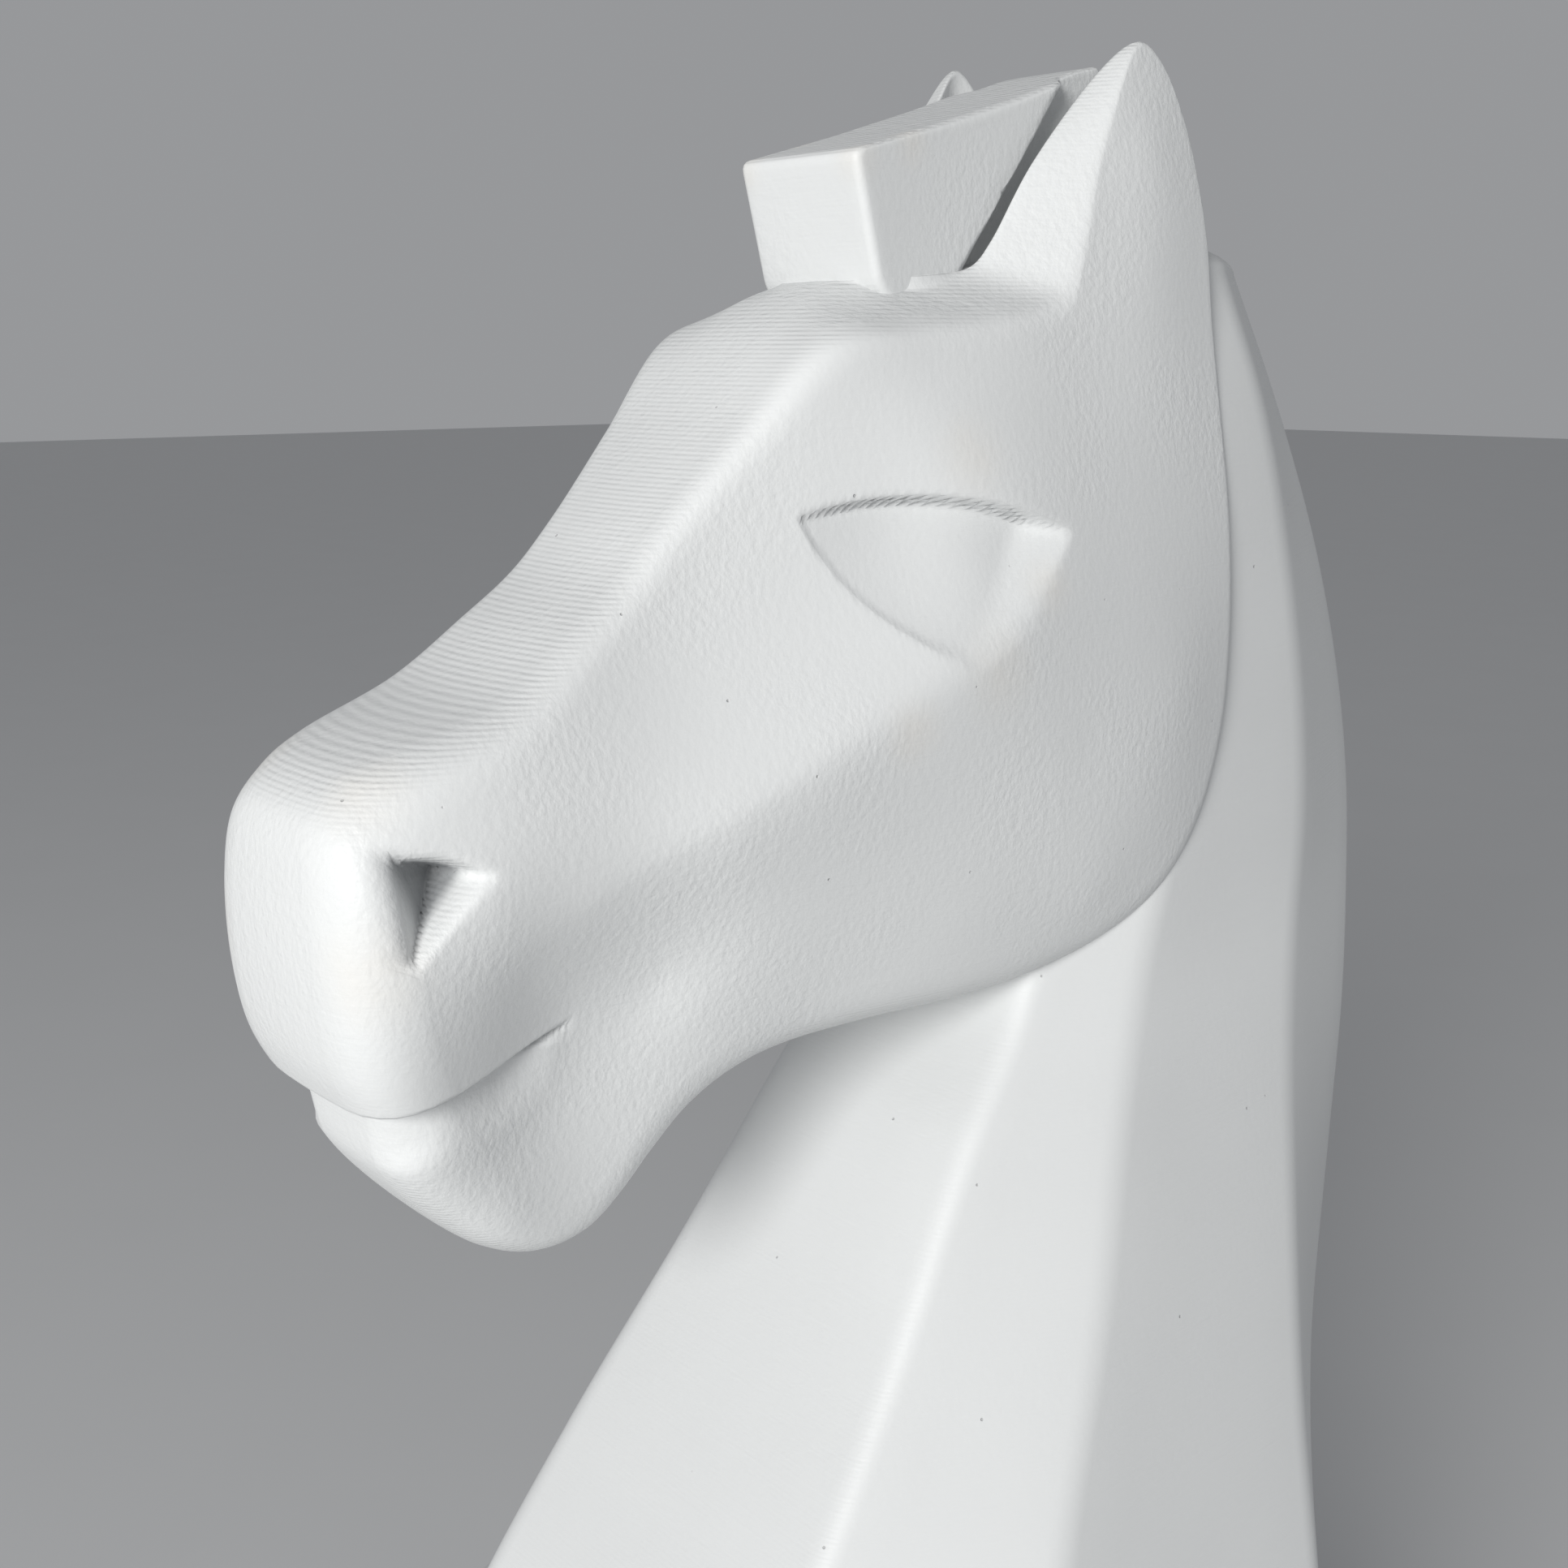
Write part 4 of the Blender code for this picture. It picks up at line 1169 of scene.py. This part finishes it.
@dataclass
class Pedestal:
    """Turned base and collar, with the cover and the rubber foot below.

    The base and the cover keep their shapes; the collar and the foot are turned more finely.
    """

    collar_profile: tuple[Pair, ...] = (
        (40.0, 52.3), (69.4, 52.3), (72.6, 53.6), (76.4, 56.4), (78.4, 59.8), (78.8, 62.2), (78.2, 64.8),
        (76.2, 67.8), (72.6, 70.4), (69.0, 71.9), (40.0, 71.9),
    )
    foot_profile: tuple[Pair, ...] = (
        (86.0, 0.4), (86.6, 0.0), (91.9, 0.0), (92.5, 0.4), (92.5, 1.8), (86.0, 1.8),
    )

    def build(self) -> None:
        """Turn the two rings and refinish the rest."""
        primed = PrimedPrint("primed_pedestal").material()
        collar = Turned("collar_bead", self.collar_profile, round_by=2.0, sharp=60.0).build()
        dress(collar, Body.PIECE, Slot.WHITE, primed, "collar_ring")
        refinish(primed, "base_shell")
        foot = Turned("foot_rubber", self.foot_profile).build()
        dress(foot, Body.PIECE, Slot.RUBBER, Rubber("foot_rubber").material(), "foot_ring")
        refinish(GreyPrint("grey_cover").material(), "base_cover")


# --------------------------------------------------------------------------- fasteners and plug


@dataclass
class Fixings:
    """Screws, inserts, bolt, washers, nut, ballast and the block inside the head."""

    cover_screws: tuple[str, ...] = tuple(f"cover_screw_{n}" for n in range(1, 5))
    inserts: tuple[str, ...] = tuple(f"cover_insert_{n}" for n in range(1, 5))
    bolt_parts: tuple[str, ...] = ("centre_bolt", "bolt_nut", "lower_washer", "upper_washer")
    key_screws: tuple[str, ...] = ("key_screw_1", "key_screw_2")

    def build(self) -> None:
        """Refinish the fixings, whose shapes are already right."""
        refinish(STEEL.material(), *self.bolt_parts, *self.key_screws, *self.cover_screws)
        refinish(BRASS.material(), *self.inserts)
        refinish(BALLAST.material(), "ballast_ring")
        refinish(PrimedPrint("primed_key").material(), "head_key")


class FillerPlug:
    """Screw plug and sealing ring at the back of the base."""

    def build(self) -> None:
        """Refinish the cap and its ring, whose shapes are already right."""
        refinish(GreyPrint("grey_cap").material(), "filler_cap")
        refinish(Rubber("seal_rubber").material(), "filler_seal")


# --------------------------------------------------------------------------- studio


@dataclass
class Studio:
    """Pale floor, soft light and the camera; angles in degrees, the lens in millimetres on a 36 mm frame."""

    azimuth: float = 48.0
    pitch: float = 13.44647
    place: Triple = (0.164, -0.1665, 0.2728)
    lens: float = 40.99379
    floor_half: float = 6.0
    floor_color: Triple = (0.62, 0.625, 0.63)
    world_color: Triple = (0.31, 0.315, 0.325)
    key_from: Triple = (0.42, -0.86, 0.28)
    key_distance: float = 1.1
    key_size: float = 0.42
    key_power: float = 9.4
    key_aim: float = 0.24
    key_color: Triple = (1.0, 0.995, 0.98)

    def build_floor(self) -> None:
        """Flat square floor under the foot."""
        s = self.floor_half / MM
        verts = np.array([(-s, -s, 0.0), (s, -s, 0.0), (s, s, 0.0), (-s, s, 0.0)])
        floor = make_piece("studio_floor", verts, [(0, 1, 2, 3)])
        nodes = Nodes("studio_floor")
        cloud = nodes.noise(60.0, 3.0)
        dark = (*[c * 0.97 for c in self.floor_color], 1.0)
        tint = nodes.mix(cloud, (*self.floor_color, 1.0), dark)
        floor.data.materials.append(nodes.finish(tint, 0.8, None))
        if floor.data.polygons[0].normal.z < 0:
            floor.data.flip_normals()

    def build_lights(self) -> None:
        """Round key light in front of the horse, over even grey surroundings."""
        aim = Vector((0.0, 0.0, self.key_aim))
        away = Vector(self.key_from).normalized() * self.key_distance
        light = bpy.data.lights.new("key_light", "AREA")
        light.shape = "DISK"
        light.size = self.key_size
        light.energy = self.key_power
        light.color = self.key_color
        obj = bpy.data.objects.new("key_light", light)
        obj.location = aim + away
        obj.rotation_euler = (-away).to_track_quat("-Z", "Y").to_euler()
        bpy.context.scene.collection.objects.link(obj)
        world = bpy.data.worlds.new("studio_world")
        world.use_nodes = True
        world.node_tree.nodes["Background"].inputs[0].default_value = (*self.world_color, 1.0)
        bpy.context.scene.world = world
        bpy.context.scene.view_settings.view_transform = "Standard"

    def build_camera(self) -> None:
        """Camera a little above the muzzle, looking slightly down at the left side."""
        turn, tilt = math.radians(self.azimuth), math.radians(self.pitch)
        ahead = Vector((-math.sin(turn) * math.cos(tilt), math.cos(turn) * math.cos(tilt), -math.sin(tilt)))
        right = Vector((math.cos(turn), math.sin(turn), 0.0))
        up = right.cross(ahead)
        camera = bpy.data.objects.new("studio_camera", bpy.data.cameras.new("studio_camera"))
        camera.data.lens = self.lens
        camera.data.sensor_width = 36.0
        camera.data.clip_start = 0.01
        turned = Matrix((right, up, -ahead)).transposed().to_4x4()
        camera.matrix_world = Matrix.Translation(self.place) @ turned
        bpy.context.scene.collection.objects.link(camera)
        bpy.context.scene.camera = camera

    def build(self) -> None:
        """Set the whole studio."""
        self.build_camera()
        self.build_floor()
        self.build_lights()


def main() -> None:
    """Build every sub-assembly in order."""
    logging.basicConfig(level=logging.INFO, format="%(name)s %(message)s")
    for part in (Studio(), Head(), Forelock(), Neck(), Pedestal(), Fixings(), FillerPlug()):
        part.build()
    LOG.info("all pieces made")


if __name__ == "__main__":
    main()
